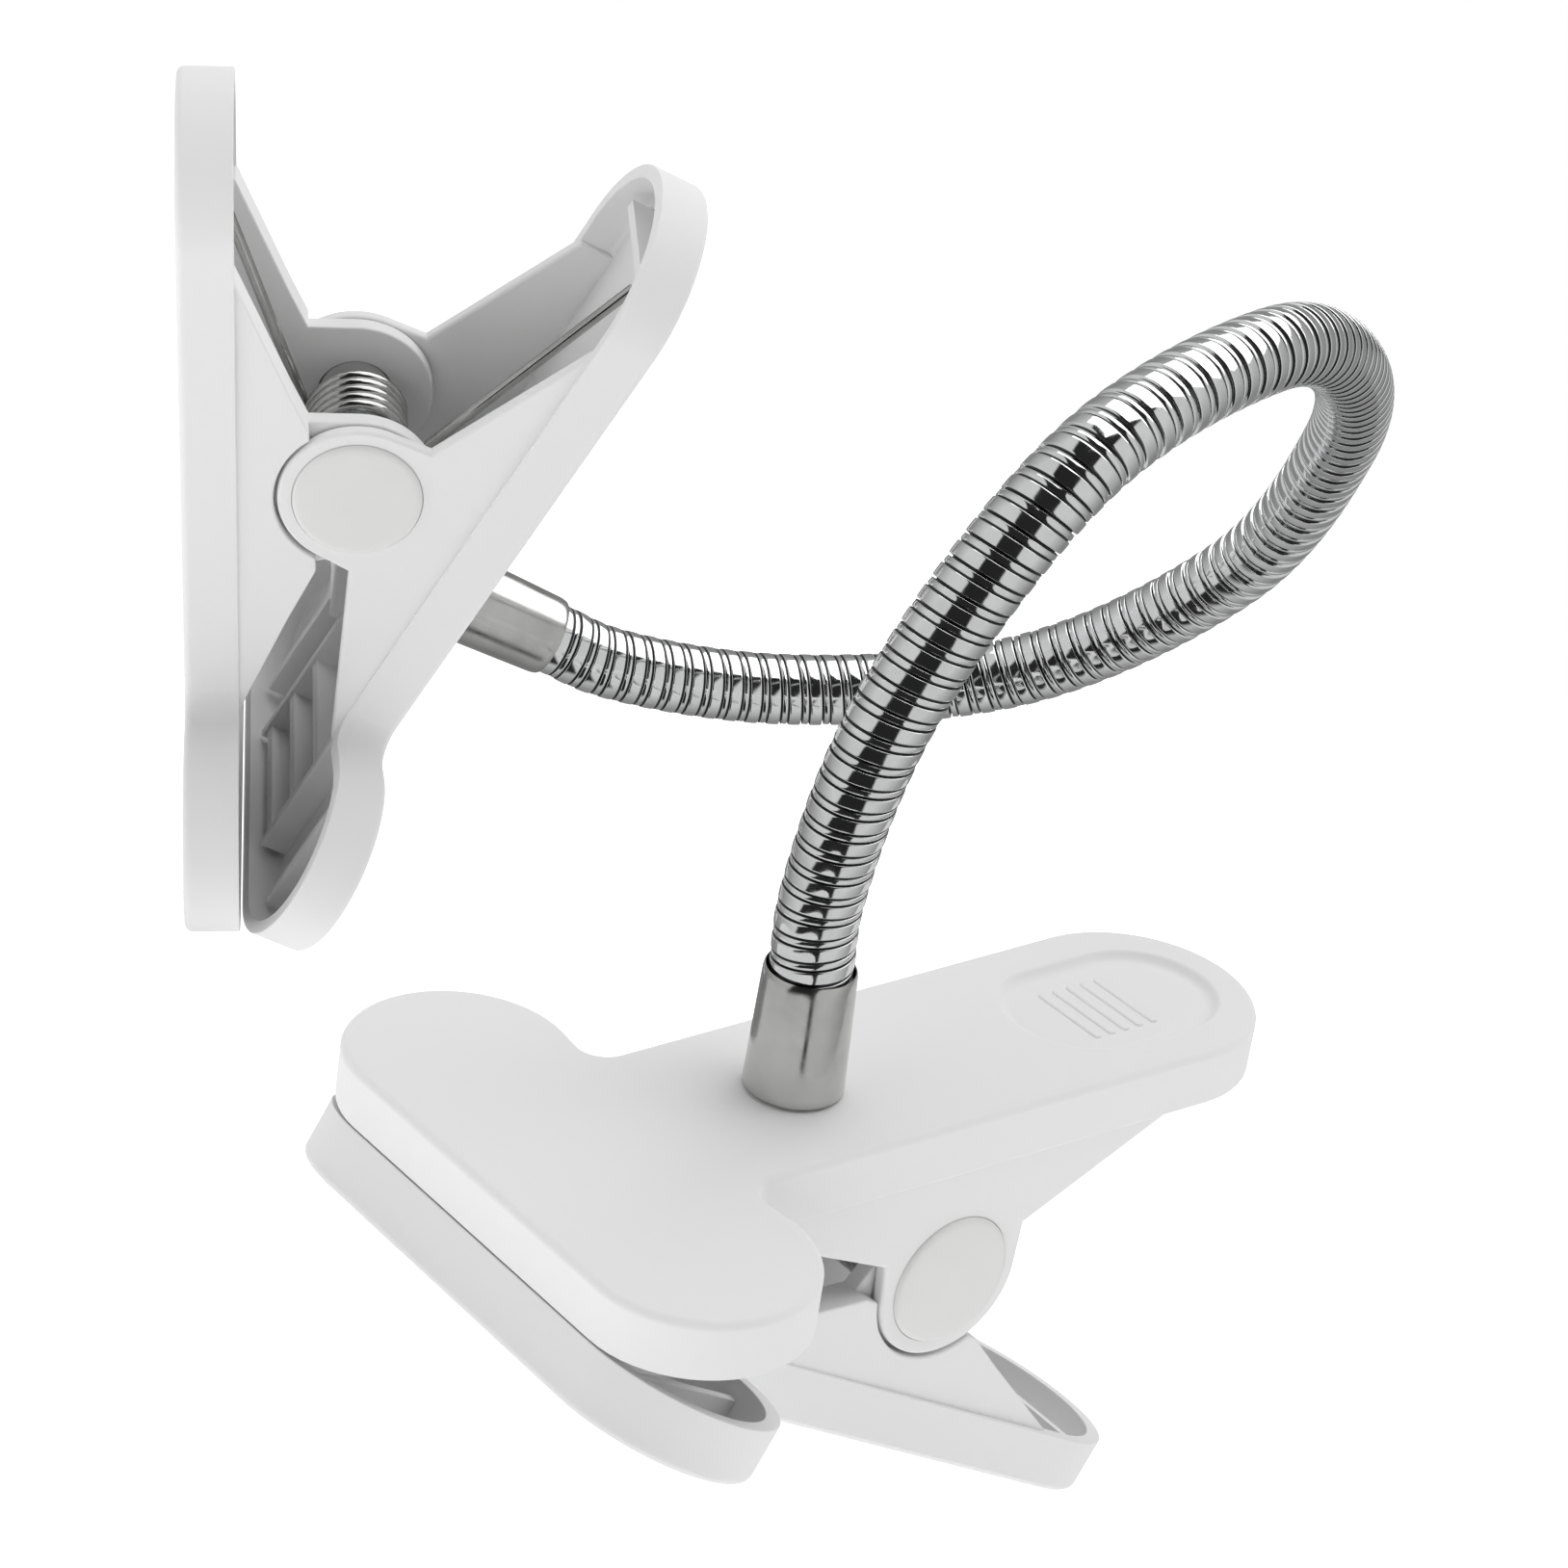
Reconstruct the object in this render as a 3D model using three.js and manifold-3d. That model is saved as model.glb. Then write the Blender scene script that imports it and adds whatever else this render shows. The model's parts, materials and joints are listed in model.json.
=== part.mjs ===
// A gooseneck holder with a spring clip at each end: a flexible chromed arm of strip-wound hose
// that stays where it is bent, screwed by a crimped ferrule to the upper jaw of each clip.
// Millimetres, +Z up. Clip A lies on its lower jaw, clip B stands on a corner of its head.
import * as THREE from 'three';
import { mergeVertices } from 'three/addons/utils/BufferGeometryUtils.js';
import Module from 'manifold-3d';

const wasm = await Module();
wasm.setup();

// Jaw: a T-shaped tray with a skirt all round, measured from the pivot axis.
const headReach = 53.7;          // pivot axis to the front edge of the head
const handleReach = 46.3;        // pivot axis to the end of the handle
const headHalfWidth = 33;
const lobeRadius = 12.2;         // outer corners of the head
const neckHalfWidth = 13.2;
const neckStart = -27;           // where the head runs into the neck
const neckFillet = 2.8;
const handleRadius = 13.8;       // round end of the handle
const faceHeight = 20;           // pivot axis to the outer face
const skirtDepth = 6.3;
const wall = 1.7;
const plate = 2;
const edgeRound = 0.9;
const roundMiddle = 0.3;         // the rounded edge passes this share of its size from each face
const rimHeight = faceHeight - skirtDepth;
const trayHeight = faceHeight - plate;
const webTop = trayHeight + plate / 2;  // the cheeks run this far up into the plate

// Closed jaws meet at their front edges, with a small gap left between them.
const tipGap = 0.3;
const closedAngle = 2 * Math.atan(rimHeight / headReach) - tipGap / headReach;

// Cheeks and pivot
const cheekOuter = 13;           // side plane of the cheeks
const cheekSplit = 11.3;         // inside of the upper jaw's ears
const earGap = 0.3;              // between the ears of the two jaws
const cheekInner = 8.9;          // inside of the lower jaw's ears
const earRadius = 9.1;
const socketRadius = 9.5;        // round recess of the lower cheek, in which the upper ear turns
const pivotHole = 4.5;
const capRadius = 7.45;
const capFace = 13.75;
const capSeat = 12.4;
const capBevel = 0.5;
const capCrown = 0.1;            // rise of the cap's face from its bevel to its middle
const hubRadius = 4.2;
const pinRadius = 2.5;
const pinHalfLength = 12;
const fitGap = 0.3;
const webOverlap = 0.5;          // the lower jaw's web runs this far into its ear plate
const cutBeyond = 1;             // cutters run this far past the face that they cut

// Edges of the cheeks, seen from the side: where each leaves the skirt, and its corners [x, z]
// on the way to the ear.
const upperCheekBack = 29.4;
const upperCheekFront = -31.5;
const upperEarBack = [9.4, 4.4];
const upperEarFront = [-9.4, 4];
const lowerCheekBack = 28.8;
const lowerCheekFront = -30.4;
const lowerEarBack = [[13.7, 7.5], [9.2, 5.5]];
const lowerEarFront = [[-10.1, 4.7], [-16.9, 7.9]];

// Ribs inside the tray
const ribThickness = 1.2;
const crossRibs = [-49.5, -43.7, -37.8];  // across the head, between its two inner walls
const crossRibDepth = 3;
const innerWall = 10.8;          // the cheeks run on into the head as these walls
const innerWallDepth = 3.4;
const lobeRib = 21;
const lobeRibDepth = 2.5;
const ribFront = -51;
const ribBack = -30;
const handleRib = 38;            // beyond the ends of the spring's legs
const handleRibHalf = 9;

// Thumb recess in the handle
const recessCentre = 29.2;
const recessRadius = 8.6;
const recessHalfStraight = 4.6;
const recessDepth = 0.9;

// Torsion spring
const wireRadius = 0.65;
const coilRadius = 5.4;
const coilTurns = 6;
const coilPitch = 1.5;
const coilShift = -1.5;          // middle of the coil, across the clip
const legEnd = 34;               // how far along the handle its legs reach
const legGap = 0.4;              // from the end of a leg to the tray

// Gooseneck and its fittings
const ferruleX = -14.3;
const ferruleBaseRadius = 5.3;
const ferruleTopRadius = 4.9;
const ferruleLength = 14.25;
const ferruleBore = 4.6;
const ferruleFoot = 0.6;         // straight part of the foot, under the taper
const ferruleFloor = 1.2;
const crimpLength = 1.2;         // rolled in at the mouth, round the hose
const crimpRadius = 4.78;
const studRadius = 3;
const studHole = 3.3;
const studBeyondNut = 1.5;
const plugFlange = 4.7;          // height of the end plug's flange over the jaw's face
const plugSpigot = 10;
const washerRadius = 5.8;
const washerThickness = 0.8;
const nutRadius = 5.5;
const nutHeight = 3;
const hoseRadius = 4.35;
const hoseBore = 3.3;
const coreRadius = 2.2;
const bendCount = 8;             // places where the arm is free to bend
const bendGap = 2.6;             // room between stretches of hose for a bend of 25 degrees

// Route of the free hose, from the mouth of ferrule A to the mouth of ferrule B.
const leadLength = 8;            // straight out of each ferrule
const routePoints = [
  [-40.4, -3.2, 71.6],
  [-37.6, -6.1, 101.3],
  [-15, -0.5, 120],
  [12.6, 12.2, 122.9],
  [37.7, 28, 115.6],
  [54.2, 45.2, 96.9],
  [52, 64.2, 73.5],
  [32.8, 80.4, 56.6],
];
const clipBPosition = [-28.4, 101.9, 61.1];
const clipBTurn = [47.7, 44.9, 149.9];

const plasticLook = { color: 0xe4e4e2, roughness: 0.45, metalness: 0 };
const chromeLook = { color: 0xd8d9db, roughness: 0.12, metalness: 1 };
const nickelLook = { color: 0xc9c9c6, roughness: 0.25, metalness: 1 };
const steelLook = { color: 0xb9bbbd, roughness: 0.3, metalness: 1 };
const coreLook = { color: 0x9a9c9e, roughness: 0.5, metalness: 1 };

const degrees = Math.PI / 180;
const mergeDistance = 1e-4;

// Facets
const roundSides = 28;
const uprightSides = 24;
const socketSides = 36;
const pinSides = 16;
const plugSides = 20;
const boreSides = 18;
const earSteps = 18;
const lobeSteps = 8;
const filletSteps = 3;
const handleSteps = 7;
const recessSegments = 10;
const wireSides = 6;
const wireSteps = 96;
const hoseSides = 14;
const coreSides = 8;
const hoseSteps = 6;
const endHoseSteps = 5;          // the two stretches at the ends are half as long
const routeDivisions = 2000;

function piece(name, geometry, look) {
  const mesh = new THREE.Mesh(geometry, new THREE.MeshStandardMaterial(look));
  mesh.name = name;
  return mesh;
}

// ---- Booleans ----

function toSolid(geometry) {
  const bare = geometry.clone();
  bare.deleteAttribute('normal');
  bare.deleteAttribute('uv');
  const merged = mergeVertices(bare, mergeDistance);
  const vertProperties = new Float32Array(merged.attributes.position.array);
  const triVerts = new Uint32Array(merged.index.array);
  return new wasm.Manifold(new wasm.Mesh({ numProp: 3, vertProperties, triVerts }));
}

function toGeometry(solid) {
  const mesh = solid.getMesh();
  const geometry = new THREE.BufferGeometry();
  geometry.setAttribute('position', new THREE.BufferAttribute(mesh.vertProperties, 3));
  geometry.setIndex(new THREE.BufferAttribute(mesh.triVerts, 1));
  geometry.computeVertexNormals();
  return geometry;
}

function joined(geometries) {
  return geometries.map(toSolid).reduce((sum, next) => sum.add(next));
}

function cut(solid, geometries) {
  return geometries.map(toSolid).reduce((rest, next) => rest.subtract(next), solid);
}

// ---- Shapes ----

// A disc or ring along Y between two planes, round the pivot axis.
function roundAcross(radius, from, to, sides = roundSides) {
  const low = Math.min(from, to);
  const high = Math.max(from, to);
  const geometry = new THREE.CylinderGeometry(radius, radius, high - low, sides);
  return geometry.translate(0, (low + high) / 2, 0);
}

function roundUpright(radius, from, to, x, sides = uprightSides) {
  const geometry = new THREE.CylinderGeometry(radius, radius, to - from, sides);
  return geometry.rotateX(Math.PI / 2).translate(x, 0, (from + to) / 2);
}

// A plate outlined in the XZ plane, between two planes across Y.
function sidePlate(shape, from, to) {
  const low = Math.min(from, to);
  const high = Math.max(from, to);
  const geometry = new THREE.ExtrudeGeometry(shape, { depth: high - low, bevelEnabled: false });
  return geometry.rotateX(Math.PI / 2).translate(0, high, 0);
}

function arcPoints(centre, radius, from, to, steps) {
  const points = [];
  for (let i = 0; i <= steps; i += 1) {
    const angle = from + (to - from) * i / steps;
    points.push([centre[0] + radius * Math.cos(angle), centre[1] + radius * Math.sin(angle)]);
  }
  return points;
}

// Direction of the common tangent's normal between two round corners, on the +Y side.
function tangentNormal(from, to, reach) {
  const base = Math.atan2(to[1] - from[1], to[0] - from[0]);
  const swing = Math.acos(reach / Math.hypot(to[0] - from[0], to[1] - from[1]));
  return Math.sin(base + swing) > Math.sin(base - swing) ? base + swing : base - swing;
}

// The T outline, drawn in from its edge by inset. Every outline has the same number of points.
function jawOutline(inset) {
  const lobe = [lobeRadius - headReach, headHalfWidth - lobeRadius];
  const fillet = [neckStart, neckHalfWidth + neckFillet];
  const end = [handleReach - handleRadius, 0];
  const lobeTurn = tangentNormal(lobe, fillet, lobeRadius + neckFillet);
  const endTurn = tangentNormal(fillet, end, -(neckFillet + handleRadius));
  const half = [
    ...arcPoints(lobe, lobeRadius - inset, Math.PI, lobeTurn, lobeSteps),
    ...arcPoints(fillet, neckFillet + inset, lobeTurn + Math.PI, endTurn + Math.PI, filletSteps),
    ...arcPoints(end, handleRadius - inset, endTurn, 0, handleSteps),
  ];
  const mirrored = half.slice(0, -1).reverse().map(([x, y]) => [x, -y]);
  return [...half, ...mirrored];
}

// A tray lofted through rings [inset, height] and closed by a flat cap at both ends.
function tray(rings) {
  const outlines = rings.map(([inset]) => jawOutline(inset));
  const count = outlines[0].length;
  const positions = [];
  rings.forEach(([, height], level) => {
    outlines[level].forEach(([x, y]) => positions.push(x, y, height));
  });
  const index = [];
  for (let level = 0; level < rings.length - 1; level += 1) {
    for (let i = 0; i < count; i += 1) {
      const a = level * count + i;
      const b = level * count + (i + 1) % count;
      index.push(a, b, b + count, a, b + count, a + count);
    }
  }
  const flat = (outline) => outline.map(([x, y]) => new THREE.Vector2(x, y));
  const last = (rings.length - 1) * count;
  THREE.ShapeUtils.triangulateShape(flat(outlines[0]), []).forEach(([a, b, c]) => {
    index.push(a, b, c);
  });
  THREE.ShapeUtils.triangulateShape(flat(outlines.at(-1)), []).forEach(([a, b, c]) => {
    index.push(last + a, last + c, last + b);
  });
  const geometry = new THREE.BufferGeometry();
  geometry.setAttribute('position', new THREE.Float32BufferAttribute(positions, 3));
  geometry.setIndex(index);
  return geometry;
}

// The jaw's tray, its outer face up at faceHeight and its hollow side down.
function jawTray() {
  return tray([
    [edgeRound, faceHeight],
    [edgeRound * roundMiddle, faceHeight - edgeRound * roundMiddle],
    [0, faceHeight - edgeRound],
    [0, rimHeight],
    [wall, rimHeight],
    [wall, trayHeight],
  ]);
}

function polygon(points) {
  return new THREE.Shape(points.map(([x, y]) => new THREE.Vector2(x, y)));
}

function thumbRecess() {
  const shape = new THREE.Shape();
  const left = recessCentre - recessHalfStraight;
  const right = recessCentre + recessHalfStraight;
  shape.absarc(right, 0, recessRadius, -Math.PI / 2, Math.PI / 2, false);
  shape.absarc(left, 0, recessRadius, Math.PI / 2, 1.5 * Math.PI, false);
  const geometry = new THREE.ExtrudeGeometry(shape, {
    depth: 2 * recessDepth,
    bevelEnabled: false,
    curveSegments: recessSegments,
  });
  return geometry.translate(0, 0, faceHeight - recessDepth);
}

// A rib on the inside of the tray's plate.
function rib(length, width, depth, x, y) {
  const height = depth + plate / 2;
  return new THREE.BoxGeometry(length, width, height).translate(x, y, webTop - height / 2);
}

// Ribs that stiffen the tray: a ladder and two outer ribs in the head, one across the handle.
function trayRibs() {
  const ribs = crossRibs.map((x) => rib(ribThickness, 2 * innerWall, crossRibDepth, x, 0));
  const length = ribBack - ribFront;
  const middle = (ribBack + ribFront) / 2;
  [1, -1].forEach((side) => {
    ribs.push(rib(length, ribThickness, innerWallDepth, middle, side * innerWall));
    ribs.push(rib(length, ribThickness, lobeRibDepth, middle, side * lobeRib));
  });
  ribs.push(rib(ribThickness, 2 * handleRibHalf, crossRibDepth, handleRib, 0));
  return ribs;
}

// The upper jaw: outside ears with a round end, running up into the skirt.
function upperJaw() {
  const cheek = polygon([
    [upperCheekBack, webTop],
    [upperCheekBack, rimHeight],
    upperEarBack,
    ...arcPoints([0, 0], earRadius, 0, -Math.PI, earSteps),
    upperEarFront,
    [upperCheekFront, rimHeight],
    [upperCheekFront, webTop],
  ]);
  const parts = [jawTray(), ...trayRibs()];
  [1, -1].forEach((side) => parts.push(sidePlate(cheek, side * cheekSplit, side * cheekOuter)));
  const solid = cut(joined(parts), [
    roundAcross(pivotHole, -cheekOuter - cutBeyond, cheekOuter + cutBeyond),
    roundAcross(capRadius + fitGap, capSeat, cheekOuter + cutBeyond),
    roundAcross(capRadius + fitGap, -capSeat, -cheekOuter - cutBeyond),
    roundUpright(studHole, trayHeight - cutBeyond, faceHeight + cutBeyond, ferruleX),
    thumbRecess(),
  ]);
  return toGeometry(solid);
}

// The lower jaw in the same pose: the web stops short of the upper ear, with its own ear inside.
function lowerJaw() {
  const handleSide = [
    [lowerCheekBack, webTop],
    [lowerCheekBack, rimHeight],
    ...lowerEarBack,
  ];
  const headSide = [
    ...lowerEarFront,
    [lowerCheekFront, rimHeight],
    [lowerCheekFront, webTop],
  ];
  const outside = polygon([...handleSide, ...headSide]);
  const earArc = arcPoints([0, 0], earRadius, 0, -Math.PI, earSteps);
  const ear = polygon([...handleSide, ...earArc, ...headSide]);
  const earFace = cheekSplit - earGap;
  const parts = [jawTray(), ...trayRibs()];
  const sockets = [];
  [1, -1].forEach((side) => {
    const beyond = side * (cheekOuter + cutBeyond);
    const socket = roundAcross(socketRadius, side * earFace, beyond, socketSides);
    sockets.push(socket);
    parts.push(sidePlate(ear, side * cheekInner, side * earFace));
    const webPlate = sidePlate(outside, side * (earFace - webOverlap), side * cheekOuter);
    parts.push(toGeometry(cut(toSolid(webPlate), [socket])));
  });
  const solid = cut(joined(parts), [
    roundAcross(pivotHole, -cheekOuter - cutBeyond, cheekOuter + cutBeyond),
    thumbRecess(),
  ]);
  return toGeometry(solid);
}

// A push-on cap: a thin head in the ear's seat, with a hub that carries the pin.
function pivotCap() {
  const hubStart = cheekInner + fitGap;
  const headStart = capSeat + fitGap;
  const bore = pinRadius + fitGap;
  const boreEnd = pinHalfLength + fitGap;
  const profile = [
    [0, boreEnd],
    [bore, boreEnd],
    [bore, hubStart],
    [hubRadius, hubStart],
    [hubRadius, headStart],
    [capRadius, headStart],
    [capRadius, capFace - capBevel],
    [capRadius - capBevel, capFace - capCrown],
    [0, capFace],
  ];
  return new THREE.LatheGeometry(profile.map(([r, y]) => new THREE.Vector2(r, y)), roundSides);
}

// Path of the spring: leg on the upper jaw, coil, leg on the lower jaw.
class SpringPath extends THREE.Curve {
  constructor() {
    super();
    const legHeight = trayHeight - legGap - wireRadius;
    const reach = Math.hypot(legEnd, legHeight);
    const slope = Math.atan2(legHeight, legEnd);
    this.leg = Math.sqrt(reach * reach - coilRadius * coilRadius);
    this.legTurn = slope + Math.acos(coilRadius / reach);
    this.turned = 2 * Math.PI * coilTurns - 2 * this.legTurn - closedAngle;
    this.coil = this.turned * Math.hypot(coilRadius, coilPitch / (2 * Math.PI));
    this.rise = coilPitch * this.turned / (2 * Math.PI);
  }

  onCoil(turned) {
    const angle = this.legTurn + closedAngle + turned;
    const y = coilShift + this.rise * (0.5 - turned / this.turned);
    return new THREE.Vector3(coilRadius * Math.cos(angle), y, coilRadius * Math.sin(angle));
  }

  getPoint(t) {
    const along = t * (2 * this.leg + this.coil);
    const before = this.leg - along;
    const after = along - this.leg - this.coil;
    const start = this.onCoil(0);
    const finish = this.onCoil(this.turned);
    if (before > 0) {
      const angle = this.legTurn + closedAngle - Math.PI / 2;
      return start.add(new THREE.Vector3(Math.cos(angle), 0, Math.sin(angle)).setLength(before));
    }
    if (after > 0) {
      const angle = this.legTurn + closedAngle + this.turned + Math.PI / 2;
      return finish.add(new THREE.Vector3(Math.cos(angle), 0, Math.sin(angle)).setLength(after));
    }
    return this.onCoil((along - this.leg) / this.coil * this.turned);
  }
}

// Corners of a regular polygon round the origin.
function corners(radius, sides) {
  return arcPoints([0, 0], radius, 0, 2 * Math.PI * (1 - 1 / sides), sides - 1);
}

// A section with so many sides, and a hole through it where a bore is given.
function roundSection(radius, sides, bore = 0, holeSides = sides) {
  const shape = polygon(corners(radius, sides));
  if (bore > 0) {
    const hole = corners(bore, holeSides).map(([x, y]) => new THREE.Vector2(x, y));
    shape.holes.push(new THREE.Path(hole));
  }
  return shape;
}

function swept(path, section, steps) {
  const options = { extrudePath: path, steps, bevelEnabled: false };
  return new THREE.ExtrudeGeometry(section, options);
}

// Turned parts that stand on the upper jaw, over or under its face.
function turned(profile, sides) {
  const points = profile.map(([r, z]) => new THREE.Vector2(r, z));
  const geometry = new THREE.LatheGeometry(points, sides);
  return geometry.rotateX(Math.PI / 2);
}

function ferrule() {
  const base = fitGap;
  return turned([
    [studHole, base],
    [ferruleBaseRadius, base],
    [ferruleBaseRadius, base + ferruleFoot],
    [ferruleTopRadius, ferruleLength - crimpLength],
    [crimpRadius, ferruleLength],
    [ferruleBore, ferruleLength],
    [ferruleBore, base + ferruleFloor],
    [studHole, base + ferruleFloor],
    [studHole, base],
  ], uprightSides);
}

function endPlug() {
  const studEnd = trayHeight - faceHeight - washerThickness - nutHeight - studBeyondNut;
  const flangeStart = ferruleFloor + 2 * fitGap;
  return turned([
    [0, studEnd],
    [studRadius, studEnd],
    [studRadius, flangeStart],
    [ferruleBore - fitGap, flangeStart],
    [ferruleBore - fitGap, plugFlange],
    [hoseBore - fitGap, plugFlange],
    [hoseBore - fitGap, plugSpigot],
    [0, plugSpigot],
  ], plugSides);
}

function lockWasher() {
  const top = trayHeight - faceHeight - fitGap;
  return turned([
    [studHole, top - washerThickness],
    [washerRadius, top - washerThickness],
    [washerRadius, top],
    [studHole, top],
    [studHole, top - washerThickness],
  ], uprightSides);
}

function hexNut() {
  const top = trayHeight - faceHeight - 2 * fitGap - washerThickness;
  const shape = roundSection(nutRadius, 6, studHole, boreSides);
  const geometry = new THREE.ExtrudeGeometry(shape, { depth: nutHeight, bevelEnabled: false });
  return geometry.translate(0, 0, top - nutHeight);
}

// ---- Clip ----

// The clip lies in its lower jaw's frame: that jaw's outer face is down, its head at -X.
function makeClip(label) {
  const clip = new THREE.Group();
  const upper = new THREE.Group();
  upper.rotation.y = -closedAngle;
  upper.add(piece(`${label}_upper_jaw`, upperJaw(), plasticLook));
  const fittings = new THREE.Group();
  fittings.position.set(ferruleX, 0, faceHeight);
  fittings.add(piece(`${label}_ferrule`, ferrule(), nickelLook));
  fittings.add(piece(`${label}_hose_end_plug`, endPlug(), steelLook));
  fittings.add(piece(`${label}_lock_washer`, lockWasher(), steelLook));
  fittings.add(piece(`${label}_hex_nut`, hexNut(), steelLook));
  upper.add(fittings);
  clip.add(upper);

  const lower = piece(`${label}_lower_jaw`, lowerJaw(), plasticLook);
  lower.rotation.x = Math.PI;
  clip.add(lower);
  const rightCap = piece(`${label}_pivot_cap_right`, pivotCap(), plasticLook);
  const leftCap = piece(`${label}_pivot_cap_left`, pivotCap(), plasticLook);
  leftCap.rotation.x = Math.PI;
  clip.add(rightCap, leftCap);
  const pin = roundAcross(pinRadius, -pinHalfLength, pinHalfLength, pinSides);
  clip.add(piece(`${label}_pivot_pin`, pin, steelLook));
  const spring = swept(new SpringPath(), roundSection(wireRadius, wireSides), wireSteps);
  clip.add(piece(`${label}_torsion_spring`, spring, steelLook));
  clip.userData.fittings = fittings;
  return clip;
}

const clipA = makeClip('clip_a');
clipA.position.z = faceHeight;
const clipB = makeClip('clip_b');
clipB.position.set(...clipBPosition);
clipB.rotation.set(...clipBTurn.map((angle) => angle * degrees));

const stand = new THREE.Group();
stand.add(clipA, clipB);
stand.updateMatrixWorld(true);
const clipBLow = new THREE.Box3().setFromObject(clipB, true).min.z;
clipB.position.z -= clipBLow;
stand.updateMatrixWorld(true);

// ---- Gooseneck ----

function onFittings(clip, height) {
  return clip.userData.fittings.localToWorld(new THREE.Vector3(0, 0, height));
}

const hoseStart = plugFlange + fitGap;
const freeRoute = new THREE.CatmullRomCurve3([
  onFittings(clipA, ferruleLength),
  onFittings(clipA, ferruleLength + leadLength),
  ...routePoints.map((point) => new THREE.Vector3(...point)),
  onFittings(clipB, ferruleLength + leadLength),
  onFittings(clipB, ferruleLength),
], false, 'centripetal');
const route = new THREE.CurvePath();
route.add(new THREE.LineCurve3(onFittings(clipA, hoseStart), onFittings(clipA, ferruleLength)));
route.add(freeRoute);
route.add(new THREE.LineCurve3(onFittings(clipB, ferruleLength), onFittings(clipB, hoseStart)));
route.arcLengthDivisions = routeDivisions;

// One stretch of the route, between two distances along it.
class Stretch extends THREE.Curve {
  constructor(from, to) {
    super();
    this.from = from;
    this.to = to;
  }

  getPoint(t) {
    return route.getPointAt((this.from + (this.to - this.from) * t) / route.getLength());
  }
}

const gooseneck = new THREE.Group();
const insideFerrule = ferruleLength - hoseStart;
const freeLength = route.getLength() - 2 * insideFerrule;
const bendSpacing = freeLength / bendCount;
const coreInset = plugSpigot + fitGap - hoseStart;
for (let i = 0; i <= bendCount; i += 1) {
  const before = insideFerrule + bendSpacing * (i - 0.5) + bendGap / 2;
  const after = insideFerrule + bendSpacing * (i + 0.5) - bendGap / 2;
  const from = Math.max(before, 0);
  const to = Math.min(after, route.getLength());
  const steps = i === 0 || i === bendCount ? endHoseSteps : hoseSteps;
  const hoseSection = roundSection(hoseRadius, hoseSides, hoseBore);
  const hose = swept(new Stretch(from, to), hoseSection, steps);
  gooseneck.add(piece(`hose_stretch_${i + 1}`, hose, chromeLook));
  const coreFrom = Math.max(before, coreInset);
  const coreTo = Math.min(after, route.getLength() - coreInset);
  const core = swept(new Stretch(coreFrom, coreTo), roundSection(coreRadius, coreSides), steps);
  gooseneck.add(piece(`core_wire_${i + 1}`, core, coreLook));
}
stand.add(gooseneck);

// The origin is at the middle of the object's footprint, on the surface that it stands on.
const box = new THREE.Box3().setFromObject(stand, true);
const middle = box.getCenter(new THREE.Vector3());
stand.position.set(-middle.x, -middle.y, -box.min.z);
const holder = new THREE.Group();
holder.add(stand);

export default holder;
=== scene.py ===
"""Looks of the gooseneck holder with a spring clip at each end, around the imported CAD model."""
import json
import math

import bmesh
import bpy
from mathutils import Matrix, Vector

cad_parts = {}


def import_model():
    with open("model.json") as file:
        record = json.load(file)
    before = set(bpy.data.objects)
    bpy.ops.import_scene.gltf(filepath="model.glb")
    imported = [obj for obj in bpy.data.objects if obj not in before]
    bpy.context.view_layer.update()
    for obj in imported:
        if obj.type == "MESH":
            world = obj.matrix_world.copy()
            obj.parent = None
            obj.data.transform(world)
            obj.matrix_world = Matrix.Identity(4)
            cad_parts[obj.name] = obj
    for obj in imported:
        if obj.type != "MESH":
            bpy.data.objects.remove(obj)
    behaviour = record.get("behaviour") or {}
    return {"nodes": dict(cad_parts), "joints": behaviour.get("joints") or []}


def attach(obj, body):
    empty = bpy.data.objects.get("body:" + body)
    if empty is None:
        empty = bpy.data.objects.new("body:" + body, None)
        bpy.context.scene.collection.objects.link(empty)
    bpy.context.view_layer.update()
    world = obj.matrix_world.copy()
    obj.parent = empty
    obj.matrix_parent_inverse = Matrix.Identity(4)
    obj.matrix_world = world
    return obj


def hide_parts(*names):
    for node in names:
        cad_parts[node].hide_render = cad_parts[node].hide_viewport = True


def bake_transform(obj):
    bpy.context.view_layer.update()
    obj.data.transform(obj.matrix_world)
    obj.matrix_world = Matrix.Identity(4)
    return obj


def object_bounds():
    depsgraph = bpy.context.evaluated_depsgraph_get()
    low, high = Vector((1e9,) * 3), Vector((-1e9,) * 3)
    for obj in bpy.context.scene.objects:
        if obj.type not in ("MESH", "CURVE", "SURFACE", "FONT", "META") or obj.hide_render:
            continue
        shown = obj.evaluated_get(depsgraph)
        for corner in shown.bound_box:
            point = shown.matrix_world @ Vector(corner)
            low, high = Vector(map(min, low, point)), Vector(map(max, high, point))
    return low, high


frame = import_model()
cad_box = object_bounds()

MM = 0.001

# ---- The CAD's numbers, in millimetres, measured from each clip's pivot axis ----

# Jaw: a T-shaped tray with a skirt all round
HEAD_REACH = 53.7           # pivot axis to the front edge of the head
HANDLE_REACH = 46.3         # pivot axis to the end of the handle
HEAD_HALF_WIDTH = 33
LOBE_RADIUS = 12.2          # outer corners of the head
NECK_HALF_WIDTH = 13.2
NECK_START = -27            # where the head runs into the neck
NECK_FILLET = 2.8
HANDLE_RADIUS = 13.8        # round end of the handle
FACE = 20                   # height of the jaw's outer face
RIM = 13.7                  # height of the skirt's edge
TRAY = 18                   # height of the plate's inner side
WALL = 1.7
EDGE_ROUND = 0.9
RIM_ROUND = 0.14
INNER_ROUND = 0.8           # where the skirt runs into the plate
WEB_TOP = 19                # the cheeks and ribs run this far up into the plate
TIP_GAP = 0.3               # between the closed jaws at their front edges
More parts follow.
